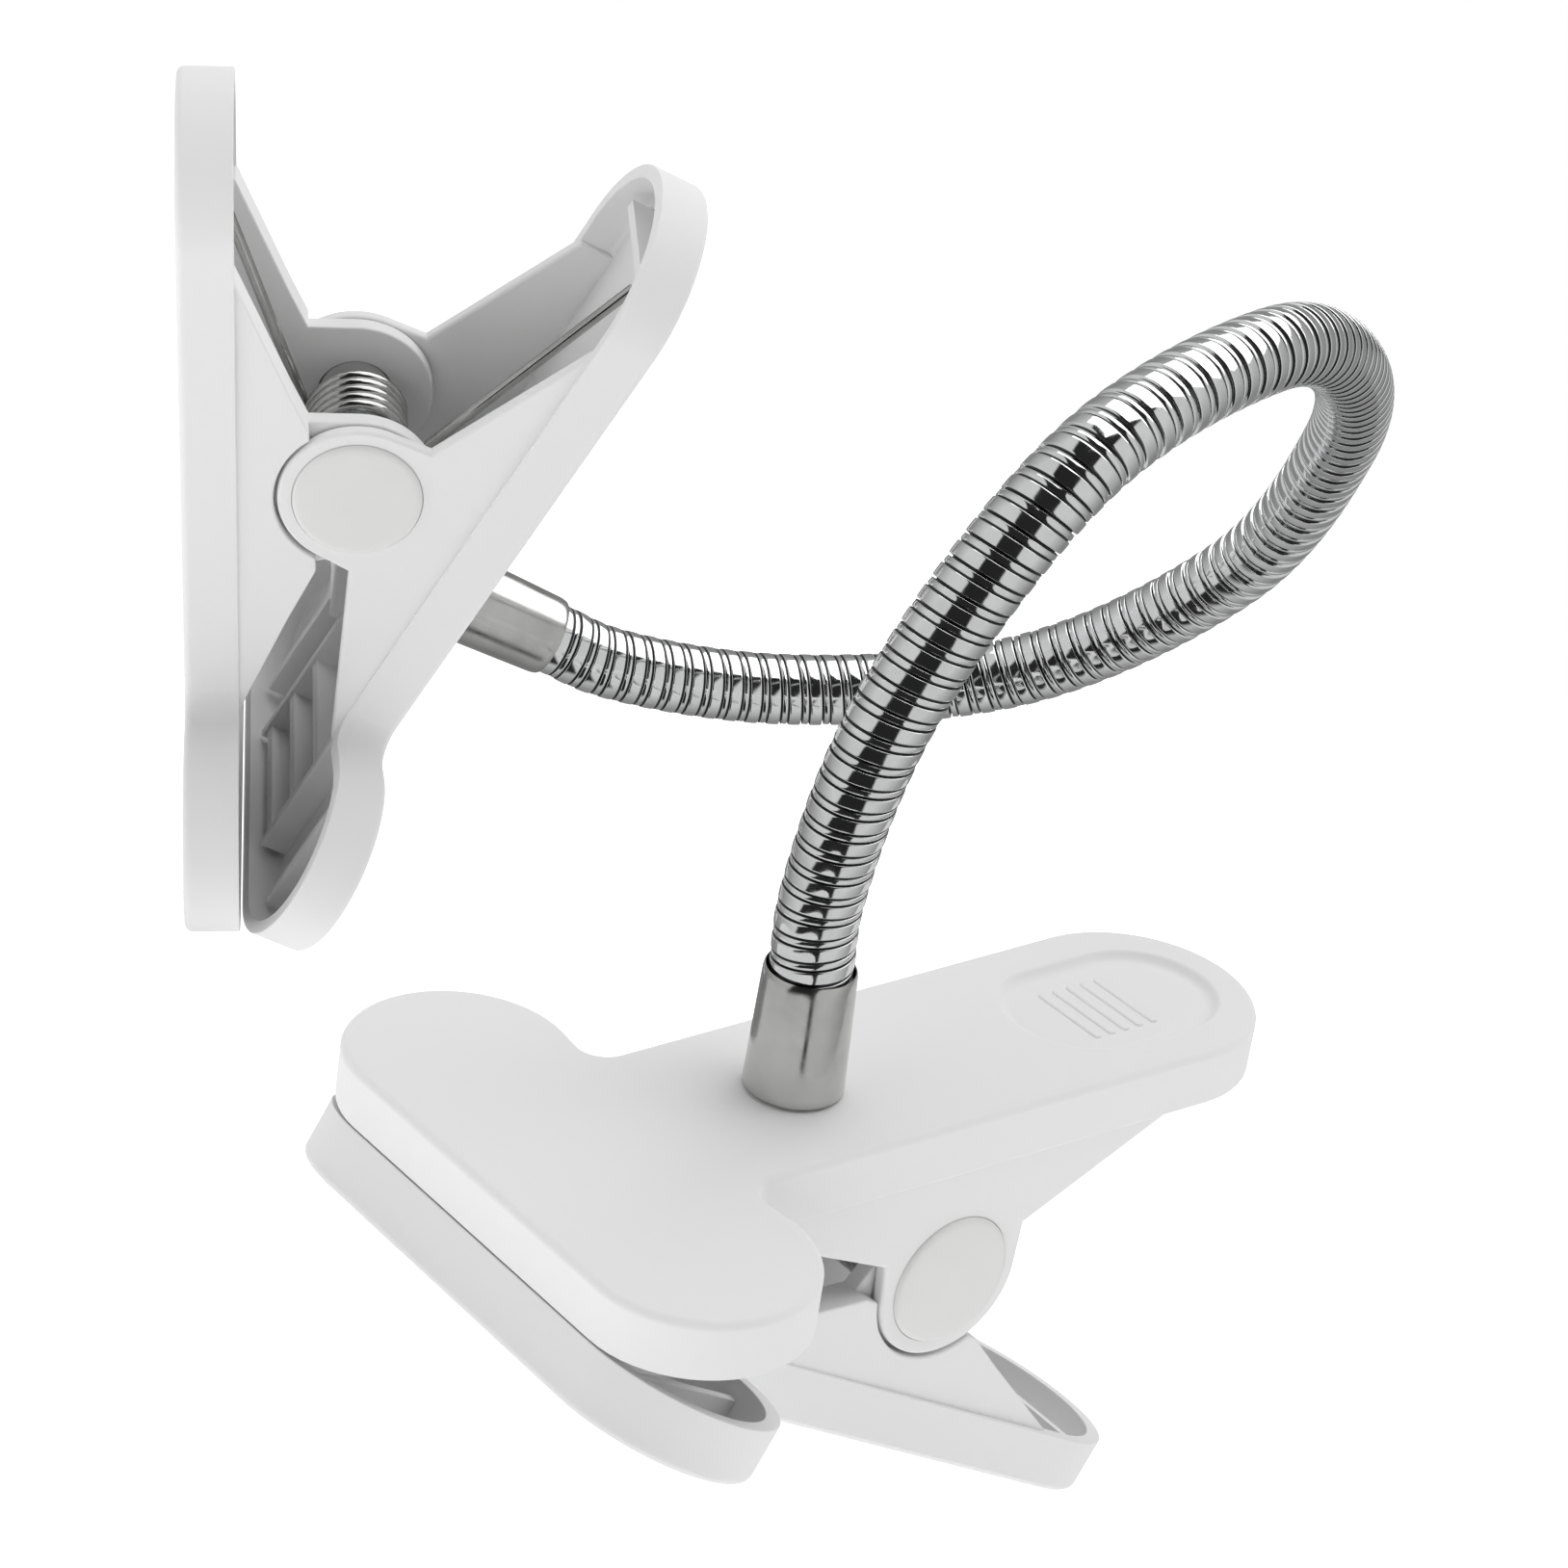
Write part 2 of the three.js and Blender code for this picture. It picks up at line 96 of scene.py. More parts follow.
CLOSED = 2 * math.atan(RIM / HEAD_REACH) - TIP_GAP / HEAD_REACH

# Cheeks and pivot
CHEEK_OUTER = 13            # side plane of the cheeks
CHEEK_SPLIT = 11.3          # inside of the upper jaw's ears
EAR_GAP = 0.3               # between the ears of the two jaws
CHEEK_INNER = 8.9           # inside of the lower jaw's ears
EAR_RADIUS = 9.1
SOCKET_RADIUS = 9.5         # round recess of the lower cheek, in which the upper ear turns
PIVOT_HOLE = 4.5
CAP_RADIUS = 7.45
CAP_FACE = 13.75
CAP_SEAT = 12.4
SEAT_GAP = 0.05             # between a cap and the edge of its seat
HUB_RADIUS = 4.2
PIN_RADIUS = 2.5
PIN_HALF_LENGTH = 12
PIN_CHAMFER = 0.3
FIT = 0.3
WEB_OVERLAP = 0.5           # the lower jaw's web runs this far into its ear plate
CUT_BEYOND = 1              # cutters run this far past the face that they cut
UPPER_CHEEK_BEVEL = 0.45
PLATE_BEVEL = 0.25
RIB_BEVEL = 0.2

# Edges of the cheeks, seen from the side: where each leaves the skirt, and its corners (x, z)
# on the way to the ear.
UPPER_CHEEK_BACK = 29.4
UPPER_CHEEK_FRONT = -31.5
UPPER_EAR_BACK = (9.4, 4.4)
UPPER_EAR_FRONT = (-9.4, 4)
LOWER_CHEEK_BACK = 28.8
LOWER_CHEEK_FRONT = -30.4
LOWER_EAR_BACK = [(13.7, 7.5), (9.2, 5.5)]
LOWER_EAR_FRONT = [(-10.1, 4.7), (-16.9, 7.9)]

# Edge of the round recess: how far each ring of the cutter stands out from the recess and over
# the cheek's side plane.
SOCKET_EDGE = [
    (0, -0.3),
    (0.1, -0.1),
    (0.4, 0.1),
    (0.4, CUT_BEYOND),
]

# Face of a cap: how far each ring stands in from the cap's edge and back from its middle.
CAP_DOME = [
    (0, 0.85),
    (0.06, 0.6),
    (0.22, 0.4),
    (0.5, 0.26),
    (0.85, 0.18),
    (1.6, 0.13),
    (3, 0.07),
    (5, 0.02),
]

# Ribs inside the tray
RIB_THICKNESS = 1.2
CROSS_RIBS = (-49.5, -43.7, -37.8)
CROSS_RIB_DEPTH = 3
INNER_WALL = 10.8           # the cheeks run on into the head as these walls
INNER_WALL_DEPTH = 3.4
LOBE_RIB = 21
LOBE_RIB_DEPTH = 2.5
RIB_FRONT = -51
RIB_BACK = -30
HANDLE_RIB = 38             # beyond the ends of the spring's legs
HANDLE_RIB_HALF = 9

# Thumb recess in the handle
RECESS_CENTRE = 29.2
RECESS_RADIUS = 8.6
RECESS_HALF_STRAIGHT = 4.6
RECESS_DEPTH = 0.9

# Its edge: how far each ring stands out from the recess, and its depth as a share.
RECESS_EDGE = [
    (-1.5, 1),
    (-0.9, 0.93),
    (-0.5, 0.7),
    (-0.2, 0.36),
    (0, 0.12),
    (0.3, 0),
]
RECESS_CUT = (0.9, 0.5)     # last ring of the cutter, and its height over the face
GRIP_RIBS = (23.7, 25.7, 27.7, 29.7, 31.7)
GRIP_RIB_HEIGHT = 0.22
GRIP_RIB_HALF_LENGTH = 4.5
GRIP_RIB_RADIUS = 0.28      # at the crest; the foot is twice as wide
GRIP_RIB_SUNK = 0.02
GRIP_RIB_ROOT = 0.4         # depth of the rib's root under the recess

# Faint round line round the fitting
MARK_RADIUS = 10
MARK_DEPTH = 0.05
MARK_HALF_WIDTH = 0.46

# Torsion spring
WIRE_RADIUS = 0.65
COIL_RADIUS = 5.4
COIL_TURNS = 6
COIL_PITCH = 1.5
COIL_SHIFT = -1.5           # middle of the coil, across the clip
LEG_END = 34                # how far along the handle its legs reach
LEG_GAP = 0.4               # from the end of a leg to the tray

# Rounded end of the wire: how far each ring stands out, and its radius, as shares of the wire's.
WIRE_END = [(0.2, 0.88), (0.4, 0.55)]

LEG_STEPS = 12
COIL_STEPS = 32             # in one turn

# Gooseneck and its fittings
FERRULE_X = -14.3
FERRULE_BASE = 5.3
FERRULE_TOP = 4.9
FERRULE_LENGTH = 14.25
FERRULE_BORE = 4.6
FERRULE_FLOOR = 1.2
FERRULE_BORE_EDGE = 0.05

# Outside of a ferrule. Foot: how far each ring stands in from the foot's radius and over its
# bottom. Mouth, rolled in round the hose: in from the top's radius and under its end.
FERRULE_FOOT = [
    (0.25, 0),
    (0.07, 0.07),
    (0, 0.25),
    (0, 0.9),
    (0.05, 2),
]
FERRULE_MOUTH = [
    (-0.02, 1.7),
    (0, 1.2),
    (0.03, 0.6),
    (0.12, 0.12),
    (0.18, 0),
]

STUD_RADIUS = 3
STUD_HOLE = 3.3
STUD_BEYOND_NUT = 1.5
THREAD_PITCH = 0.7
THREAD_DEPTH = 0.3
PLUG_CHAMFER = 0.4
PLUG_SHOULDER = 1.8         # bottom of the end plug's flange
PLUG_FLANGE = 4.7           # top of the end plug's flange
PLUG_SPIGOT = 10
WASHER_RADIUS = 5.8
WASHER_THICKNESS = 0.8
WASHER_EDGE = 0.15
WASHER_HOLE_EDGE = 0.1
NUT_RADIUS = 5.5
NUT_HEIGHT = 3
NUT_CHAMFER = 0.5
NUT_CLEAR = 0.1             # the turned blank clears the nut's corners by this much
HOSE_RADIUS = 4.35
HOSE_BORE = 3.3
BEND_COUNT = 8
LEAD = 8                    # straight out of each ferrule
ROUTE = [
    (-40.4, -3.2, 71.6),
    (-37.6, -6.1, 101.3),
    (-15, -0.5, 120),
    (12.6, 12.2, 122.9),
    (37.7, 28, 115.6),
    (54.2, 45.2, 96.9),
    (52, 64.2, 73.5),
    (32.8, 80.4, 56.6),
]
CLIP_B_TURN = (47.7, 44.9, 149.9)

# Winding of the hose: where each line of the strip's profile lies along one turn, and how far it
# stands back from the hose's full radius. The rows that lie in the grooves get a near-black painted
# shade.
WINDING_PITCH = 2.6
WINDING = [
    (0.00, 0.60),
    (0.035, 0.55),
    (0.055, 0.06),
    (0.08, 0.01),
    (0.12, 0.00),
    (0.33, -0.01),
    (0.53, 0.00),
    (0.58, 0.01),
    (0.60, 0.06),
    (0.62, 0.30),
    (0.66, 0.30),
    (0.68, 0.16),
    (0.72, 0.09),
    (0.79, 0.08),
    (0.86, 0.10),
    (0.915, 0.16),
    (0.93, 0.07),
    (0.945, 0.10),
    (0.965, 0.55),
]
SHADED_GROOVE_ROWS = (0, 8, 9, 17, 18)

# Facets and smoothing
LOBE_STEPS = 28
FILLET_STEPS = 10
HANDLE_STEPS = 26
FINE_SIDES = 96
ROUND_SIDES = 64
SMALL_SIDES = 48
WIRE_SIDES = 14
HOSE_SIDES = 48
EAR_STEPS = 48
ROUTE_STEPS = 60
SHARP_EDGE = 35             # degrees between two faces from which an edge stays sharp
ROUND_SHARP_EDGE = 50
WIRE_SHARP_EDGE = 60


# ---- Places ----
def joint_place(name):
    return next(Vector(j["pos_m"]) for j in frame["joints"] if j["name"] == name)


def turned_xyz(angles):
    place = Matrix.Identity(4)
    for angle, axis in zip(angles, "XYZ"):
        place = place @ Matrix.Rotation(math.radians(angle), 4, axis)
    return place


PIVOT_A = joint_place("clip_a_jaw")
PIVOT_B = joint_place("clip_b_jaw")
SHIFT = PIVOT_A - Vector((0, 0, FACE * MM))
LOWER = {
    "clip_a": Matrix.Translation(PIVOT_A),
    "clip_b": Matrix.Translation(PIVOT_B) @ turned_xyz(CLIP_B_TURN),
}
UPPER = {clip: place @ Matrix.Rotation(-CLOSED, 4, "Y") for clip, place in LOWER.items()}
FITTINGS = {
    clip: place @ Matrix.Translation((FERRULE_X * MM, 0, FACE * MM))
    for clip, place in UPPER.items()
}
OVER = Matrix.Rotation(math.pi, 4, "X")


# ---- Camera ----
CAMERA_PLACE = (-0.36112, -0.35231, 0.11085)
CAMERA_AZIMUTH = -47.297    # degrees, 0 looks along +Y
CAMERA_ELEVATION = -6.686
CAMERA_ROLL = 29.585
CAMERA_LENS = 103.2
SENSOR_WIDTH = 36
CAMERA_CLIP_START = 0.01


def camera():
    """Sets up the camera, and returns the directions of its right, its top and its view."""
    data = bpy.data.cameras.new("camera")
    data.sensor_width = SENSOR_WIDTH
    data.lens = CAMERA_LENS
    data.clip_start = CAMERA_CLIP_START
    eye = bpy.data.objects.new("camera", data)
    turn = Matrix.Rotation(math.radians(CAMERA_AZIMUTH), 3, "Z")
    turn = turn @ Matrix.Rotation(math.radians(90 + CAMERA_ELEVATION), 3, "X")
    turn = turn @ Matrix.Rotation(math.radians(CAMERA_ROLL), 3, "Z")
    eye.matrix_world = Matrix.Translation(CAMERA_PLACE) @ turn.to_4x4()
    bpy.context.scene.collection.objects.link(eye)
    bpy.context.scene.camera = eye
    return turn.col[0].copy(), turn.col[1].copy(), -turn.col[2]


CAMERA_RIGHT, CAMERA_UP, CAMERA_FORWARD = camera()


# ---- Node materials ----

# Sockets of a Mix node, by number because their names repeat
MIX_FACTOR = 0
MIX_NUMBERS = (2, 3)
MIX_COLOURS = (6, 7)
MIXED_NUMBER = 0
MIXED_COLOUR = 2


class Nodes:
    """A material's or the world's nodes, made and joined by short calls."""

    def __init__(self, owner):
        owner.use_nodes = True
        self.tree = owner.node_tree
        self.tree.nodes.clear()

    def add(self, kind, **values):
        node = self.tree.nodes.new(kind)
        for key, value in values.items():
            if hasattr(node, key):
                setattr(node, key, value)
            else:
                node.inputs[key.replace("_", " ")].default_value = value
        return node

    def join(self, source, target):
        self.tree.links.new(source, target)

    def coords(self):
        return self.add("ShaderNodeTexCoord").outputs["Object"]

    def noise(self, scale, detail=2.0, vector=None):
        node = self.add("ShaderNodeTexNoise", Scale=scale, Detail=detail)
        self.join(vector or self.coords(), node.inputs["Vector"])
        return node.outputs["Fac"]

    def spread(self, value, low, high, start=0.3, end=0.7):
        node = self.add("ShaderNodeMapRange")
        for key, number in zip(("From Min", "From Max", "To Min", "To Max"), (start, end, low, high)):
            node.inputs[key].default_value = number
        self.join(value, node.inputs["Value"])
        return node.outputs["Result"]

    def blend(self, factor, first, second):
        node = self.add("ShaderNodeMix", data_type="RGBA")
        for place, colour in zip(MIX_COLOURS, (first, second)):
            node.inputs[place].default_value = (*colour, 1)
        self.join(factor, node.inputs[MIX_FACTOR])
        return node.outputs[MIXED_COLOUR]

    def times(self, first, second):
        node = self.add("ShaderNodeMath", operation="MULTIPLY")
        self.join(first, node.inputs[0])
        self.join(second, node.inputs[1])
        return node.outputs[0]

    def bump(self, height, strength, distance, under=None):
        node = self.add("ShaderNodeBump", Strength=strength, Distance=distance)
        self.join(height, node.inputs["Height"])
        if under:
            self.join(under, node.inputs["Normal"])
        return node.outputs["Normal"]

    def stretched(self, x, y, z):
        node = self.add("ShaderNodeMapping")
        node.inputs["Scale"].default_value = (x, y, z)
        self.join(self.coords(), node.inputs["Vector"])
        return node.outputs["Vector"]

    def finish(self, colour, rough, normal, metallic, **values):
        shader = self.add("ShaderNodeBsdfPrincipled")
        shader.inputs["Metallic"].default_value = metallic
        for key, value in values.items():
            shader.inputs[key.replace("_", " ")].default_value = value
        self.join(colour, shader.inputs["Base Color"])
        self.join(rough, shader.inputs["Roughness"])
        self.join(normal, shader.inputs["Normal"])
        out = self.add("ShaderNodeOutputMaterial")
        self.join(shader.outputs["BSDF"], out.inputs["Surface"])
        return shader


def plastic_material():
    """Satin off-white moulding: faint mottle, fine grain and a few dark specks."""
    material = bpy.data.materials.new("clip_plastic")
    n = Nodes(material)
    tone = n.blend(n.spread(n.noise(60, 3), 0, 1), (0.75, 0.75, 0.743), (0.78, 0.78, 0.773))
    cells = n.add("ShaderNodeTexVoronoi", Scale=90, Randomness=1)
    n.join(n.coords(), cells.inputs["Vector"])
    near = n.spread(cells.outputs["Distance"], 1, 0, 0.012, 0.03)
    picked = n.spread(n.noise(37, 0), 0, 0.75, 0.62, 0.66)
    colour = n.add("ShaderNodeMix", data_type="RGBA")
    colour.inputs[MIX_COLOURS[1]].default_value = (0.2, 0.2, 0.2, 1)
    n.join(tone, colour.inputs[MIX_COLOURS[0]])
    n.join(n.times(near, picked), colour.inputs[MIX_FACTOR])
    rough = n.spread(n.noise(250, 4), 0.36, 0.5)
    grain = n.bump(n.noise(5200, 3), 0.12, 0.00004)
    waves = n.bump(n.noise(110, 1), 0.15, 0.0001, grain)
    n.finish(colour.outputs[MIXED_COLOUR], rough, waves, 0, IOR=1.49)
    return material


def hose_material():
    """Bright chrome on rolled steel strip: faint haze and fine rolling marks."""
    material = bpy.data.materials.new("hose_chrome")
    n = Nodes(material)
    colour = n.blend(n.spread(n.noise(420, 3), 0, 1), (0.72, 0.725, 0.73), (0.81, 0.815, 0.82))
    rough = n.spread(n.noise(900, 4), 0.05, 0.13)
    marks = n.bump(n.noise(1400, 3), 0.25, 0.00002)
    dents = n.bump(n.noise(330, 1), 0.3, 0.00006, marks)
    n.finish(colour, rough, dents, 1)
    return material


def ferrule_material():
    """Nickel plating with the fine turning lines of a formed sleeve."""
    material = bpy.data.materials.new("ferrule_plating")
    n = Nodes(material)
    colour = n.blend(n.spread(n.noise(160, 3), 0, 1), (0.48, 0.48, 0.47), (0.58, 0.58, 0.57))
    rough = n.spread(n.noise(700, 4), 0.13, 0.24)
    streaks = n.bump(n.noise(1, 3, n.stretched(900, 900, 5200)), 0.2, 0.00002)
    dents = n.bump(n.noise(140, 1), 0.3, 0.0001, streaks)
    n.finish(colour, rough, dents, 1)
    return material


def steel_material(name, low, high, rough_low, rough_high):
    """Drawn or plated steel: slight colour change, fine drawing lines."""
    material = bpy.data.materials.new(name)
    n = Nodes(material)
    colour = n.blend(n.spread(n.noise(300, 3), 0, 1), low, high)
    rough = n.spread(n.noise(1200, 4), rough_low, rough_high)
    lines = n.bump(n.noise(3000, 3), 0.25, 0.00003)
    n.finish(colour, rough, lines, 1)
    return material


PLASTIC = plastic_material()
HOSE = hose_material()
NICKEL = ferrule_material()
SPRING = steel_material("spring_steel", (0.42, 0.42, 0.41), (0.52, 0.52, 0.51), 0.1, 0.22)
PLATED = steel_material("plated_steel", (0.58, 0.59, 0.6), (0.68, 0.69, 0.7), 0.2, 0.38)
# Near-black painted shade for the hose's grooves, standing in for the shade and dark reflections
# there.
GROOVE_SHADE = steel_material("hose_groove_shade", (0.05, 0.05, 0.05), (0.09, 0.09, 0.09), 0.35, 0.5)
CORE = steel_material("core_wire", (0.4, 0.4, 0.4), (0.5, 0.5, 0.49), 0.35, 0.55)


# ---- Mesh helpers ----
def link(name, mesh):
    obj = bpy.data.objects.new(name, mesh)
    bpy.context.scene.collection.objects.link(obj)
    return obj


def made(name, vertices, faces):
    """A closed body in millimetres, its faces turned outward."""
    mesh = bpy.data.meshes.new(name)
    mesh.from_pydata([tuple(v) for v in vertices], [], faces)
    body = bmesh.new()
    body.from_mesh(mesh)
    bmesh.ops.recalc_face_normals(body, faces=body.faces)
    body.to_mesh(mesh)
    body.free()
    return link(name, mesh)


def loft(name, rings, looped=False):
    """Skin over rings of equal length, closed by a flat cap at each end or back to the first."""
    count = len(rings[0])
    vertices = [p for ring in rings for p in ring]
    faces = []
    levels = len(rings) if looped else len(rings) - 1
    for level in range(levels):
        here = level * count
        after = (level + 1) % len(rings) * count
        for i in range(count):
            j = (i + 1) % count
            faces.append((here + i, here + j, after + j, after + i))
    if not looped:
        faces.append(tuple(range(count)))
        faces.append(tuple(range(len(vertices) - count, len(vertices))))
    return made(name, vertices, faces)


def lathe(name, profile, sides=ROUND_SIDES, axis="Z"):
    """A profile (radius, height) turned round an axis. Points on the axis become one vertex."""
    vertices = []
    rows = []
    for radius, height in profile:
        if radius == 0:
            rows.append([len(vertices)] * sides)
            vertices.append((0, 0, height))
            continue
        rows.append(list(range(len(vertices), len(vertices) + sides)))
        for i in range(sides):
            angle = 2 * math.pi * i / sides
            vertices.append((radius * math.cos(angle), radius * math.sin(angle), height))
    faces = []
    closed = profile[0][0] > 0
    pairs = list(zip(rows, rows[1:])) + ([(rows[-1], rows[0])] if closed else [])
    for low, high in pairs:
        for i in range(sides):
            j = (i + 1) % sides
            corners = (low[i], low[j], high[j], high[i])
            faces.append(tuple(dict.fromkeys(corners)))
    if axis == "Y":
        vertices = [(x, z, -y) for x, y, z in vertices]
    return made(name, vertices, faces)


def boolean(target, tool, operation):
    """Joins a tool to a target, or cuts it away, and deletes the tool."""
    step = target.modifiers.new("cut", "BOOLEAN")
    step.operation = operation
    step.solver = "MANIFOLD"
    step.object = tool
    bpy.context.view_layer.update()
    graph = bpy.context.evaluated_depsgraph_get()
    mesh = bpy.data.meshes.new_from_object(target.evaluated_get(graph))
    target.modifiers.clear()
    old = target.data
    target.data = mesh
    bpy.data.meshes.remove(old)
    bpy.data.objects.remove(tool)


def settle(obj, place, sharp=SHARP_EDGE):
    """Moves a finished body into the row frame, with smooth faces between its sharp edges."""
    mesh = obj.data
    mesh.transform(place @ Matrix.Scale(MM, 4))
    body = bmesh.new()
    body.from_mesh(mesh)
    for face in body.faces:
        face.smooth = True
    limit = math.radians(sharp)
    for edge in body.edges:
        edge.smooth = len(edge.link_faces) == 2 and edge.calc_face_angle(0) < limit
    body.to_mesh(mesh)
    body.free()
    step = obj.modifiers.new("normals", "WEIGHTED_NORMAL")
    step.keep_sharp = True
    bpy.context.view_layer.update()
    graph = bpy.context.evaluated_depsgraph_get()
    shaded = bpy.data.meshes.new_from_object(obj.evaluated_get(graph))
    obj.modifiers.clear()
    obj.data = shaded


def dress(obj, material, slot, body, *nodes):
    """Gives a piece its look, the body it rides and the nodes it replaces. The slot argument is not
    used.
    """
    if not obj.data.materials:
        obj.data.materials.append(material)
    if body:
        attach(obj, body)
    if nodes:
        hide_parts(*nodes)


# ---- Outlines ----
def arc(centre, radius, start, end, steps):
    points = []
    for i in range(steps + 1):
        angle = start + (end - start) * i / steps
        points.append((centre[0] + radius * math.cos(angle), centre[1] + radius * math.sin(angle)))
    return points


def tangent_normal(start, end, reach):
    base = math.atan2(end[1] - start[1], end[0] - start[0])
    swing = math.acos(reach / math.dist(start, end))
    return max(base + swing, base - swing, key=math.sin)


def jaw_outline(inset):
    """The T of a jaw seen from above, drawn in by an inset."""
    lobe = (LOBE_RADIUS - HEAD_REACH, HEAD_HALF_WIDTH - LOBE_RADIUS)
    fillet = (NECK_START, NECK_HALF_WIDTH + NECK_FILLET)
    end = (HANDLE_REACH - HANDLE_RADIUS, 0)
    lobe_turn = tangent_normal(lobe, fillet, LOBE_RADIUS + NECK_FILLET)
    end_turn = tangent_normal(fillet, end, -(NECK_FILLET + HANDLE_RADIUS))
    half = arc(lobe, LOBE_RADIUS - inset, math.pi, lobe_turn, LOBE_STEPS)
    turned = (lobe_turn + math.pi, end_turn + math.pi)
    half += arc(fillet, NECK_FILLET + inset, *turned, FILLET_STEPS)
    half += arc(end, HANDLE_RADIUS - inset, end_turn, 0, HANDLE_STEPS)
    return half + [(x, -y) for x, y in reversed(half[:-1])]


def stadium(centre, half_straight, radius, steps=20):
    right = arc((centre + half_straight, 0), radius, -math.pi / 2, math.pi / 2, steps)
    return right + arc((centre - half_straight, 0), radius, math.pi / 2, 1.5 * math.pi, steps)


def quarter(radius, steps):
    """Sine and cosine steps of a rounded edge, as (across, along) pairs times the radius."""
    for i in range(steps + 1):
        angle = math.pi / 2 * i / steps
        yield radius * math.sin(angle), radius * math.cos(angle)


def shrunk(points, amount):
    """The outline drawn in by amount, with mitred corners."""
    area = sum(a[0] * b[1] - b[0] * a[1] for a, b in zip(points, points[1:] + points[:1]))
    side = 1 if area > 0 else -1
    result = []
    for i, (x, y) in enumerate(points):
        before = points[i - 1]
        after = points[(i + 1) % len(points)]
        first = Vector((x - before[0], y - before[1])).normalized()
        second = Vector((after[0] - x, after[1] - y)).normalized()
        normal = Vector((-first.y - second.y, first.x + second.x)) * side
        reach = 1 + first.dot(second)
        result.append((x + normal.x * amount / reach, y + normal.y * amount / reach))
    return result


def side_plate(name, outline, start, end, bevel=PLATE_BEVEL):
    """A plate outlined in the XZ plane between two planes across Y, with rounded edges."""
    low, high = sorted((start, end))
    rings = []
    for across, along in quarter(bevel, 3):
        rings.append([(x, low + bevel - along, z) for x, z in shrunk(outline, bevel - across)])
    for across, along in reversed(list(quarter(bevel, 3))):
        rings.append([(x, high - bevel + along, z) for x, z in shrunk(outline, bevel - across)])
    return loft(name, rings)


def disc_across(name, radius, start, end):
    low, high = sorted((start, end))
    return lathe(name, [(0, low), (radius, low), (radius, high), (0, high)], FINE_SIDES, "Y")


def bored(name, radius, low, high):
    """An upright cylinder."""
    return lathe(name, [(0, low), (radius, low), (radius, high), (0, high)])


def raised(outline, height):
    return [(x, y, height) for x, y in outline]


# ---- Jaws ----
def jaw_tray(name):
    """The tray's plate and skirt, lofted from the outer face round the rim to the inner face."""
    rim = RIM - TIP_GAP / 3
    rings = []
    for across, along in quarter(EDGE_ROUND, 6):
        rings.append((EDGE_ROUND - across, FACE - EDGE_ROUND + along))
    for across, along in quarter(RIM_ROUND, 3):
        rings.append((RIM_ROUND - along, rim + RIM_ROUND - across))
    for across, along in quarter(RIM_ROUND, 3):
        rings.append((WALL - RIM_ROUND + across, rim + RIM_ROUND - along))
    for across, along in quarter(INNER_ROUND, 4):
        rings.append((WALL + INNER_ROUND - along, TRAY - INNER_ROUND + across))
    return loft(name, [raised(jaw_outline(inset), height) for inset, height in rings])


def tray_rib(length, width, depth, x, y):
    """A rib on the inside of the tray's plate, with softened edges."""
    low = TRAY - depth
    start = x - length / 2
    end = x + length / 2
    outline = [(start, low), (end, low), (end, WEB_TOP), (start, WEB_TOP)]
    return side_plate("rib", outline, y - width / 2, y + width / 2, RIB_BEVEL)


def add_ribs(jaw):
    """A ladder and two outer ribs in the head, and one rib across the handle."""
    for x in CROSS_RIBS:
        boolean(jaw, tray_rib(RIB_THICKNESS, 2 * INNER_WALL, CROSS_RIB_DEPTH, x, 0), "UNION")
    length = RIB_BACK - RIB_FRONT
    middle = (RIB_BACK + RIB_FRONT) / 2
    for side in (1, -1):
        wall = tray_rib(length, RIB_THICKNESS, INNER_WALL_DEPTH, middle, side * INNER_WALL)
        boolean(jaw, wall, "UNION")
        outer = tray_rib(length, RIB_THICKNESS, LOBE_RIB_DEPTH, middle, side * LOBE_RIB)
        boolean(jaw, outer, "UNION")
    boolean(jaw, tray_rib(RIB_THICKNESS, 2 * HANDLE_RIB_HALF, CROSS_RIB_DEPTH, HANDLE_RIB, 0), "UNION")


def recess_tool():
    """Body that sinks the thumb recess: a dished rim and a flat floor with a soft edge."""
    levels = [(grow, -RECESS_DEPTH * share) for grow, share in RECESS_EDGE]
    rings = []
    for grow, height in [*levels, RECESS_CUT]:
        outline = stadium(RECESS_CENTRE, RECESS_HALF_STRAIGHT, RECESS_RADIUS + grow)
        rings.append(raised(outline, FACE + height))
    return loft("recess", rings)


def grip_rib(x):
    """A low rounded rib across the floor of the thumb recess."""
    floor_height = FACE - RECESS_DEPTH
    rings = []
    for across, along in quarter(GRIP_RIB_HEIGHT, 4):
        radius = GRIP_RIB_RADIUS + GRIP_RIB_RADIUS * along / GRIP_RIB_HEIGHT
        ring = []
        for px, py in stadium(0, 0, radius, 6):
            reach = GRIP_RIB_HALF_LENGTH if py > 0 else -GRIP_RIB_HALF_LENGTH
            ring.append((x + px, py + reach, floor_height + across - GRIP_RIB_SUNK))
        rings.append(ring)
    rings.insert(0, [(px, py, floor_height - GRIP_RIB_ROOT) for px, py, _ in rings[0]])
    return loft("rib", rings)


def mark_ring():
    """Tool for the faint round line round the fitting."""
    profile = [
        (MARK_RADIUS - MARK_HALF_WIDTH, FACE + MARK_DEPTH),
        (MARK_RADIUS, FACE - MARK_DEPTH),
        (MARK_RADIUS + MARK_HALF_WIDTH, FACE + MARK_DEPTH),
    ]
    tool = lathe("mark", profile, FINE_SIDES)
    tool.data.transform(Matrix.Translation((FERRULE_X, 0, 0)))
    return tool


def thumb_rest(jaw):
    boolean(jaw, recess_tool(), "DIFFERENCE")
    for x in GRIP_RIBS:
        boolean(jaw, grip_rib(x), "UNION")


def pivot_bore():
    """Tool for the pivot's hole, turned half a facet, so that its corners miss the seats' edges."""
    end = CHEEK_OUTER + CUT_BEYOND
    bore = disc_across("bore", PIVOT_HOLE, -end, end)
    bore.data.transform(Matrix.Rotation(math.pi / FINE_SIDES, 4, "Y"))
    return bore


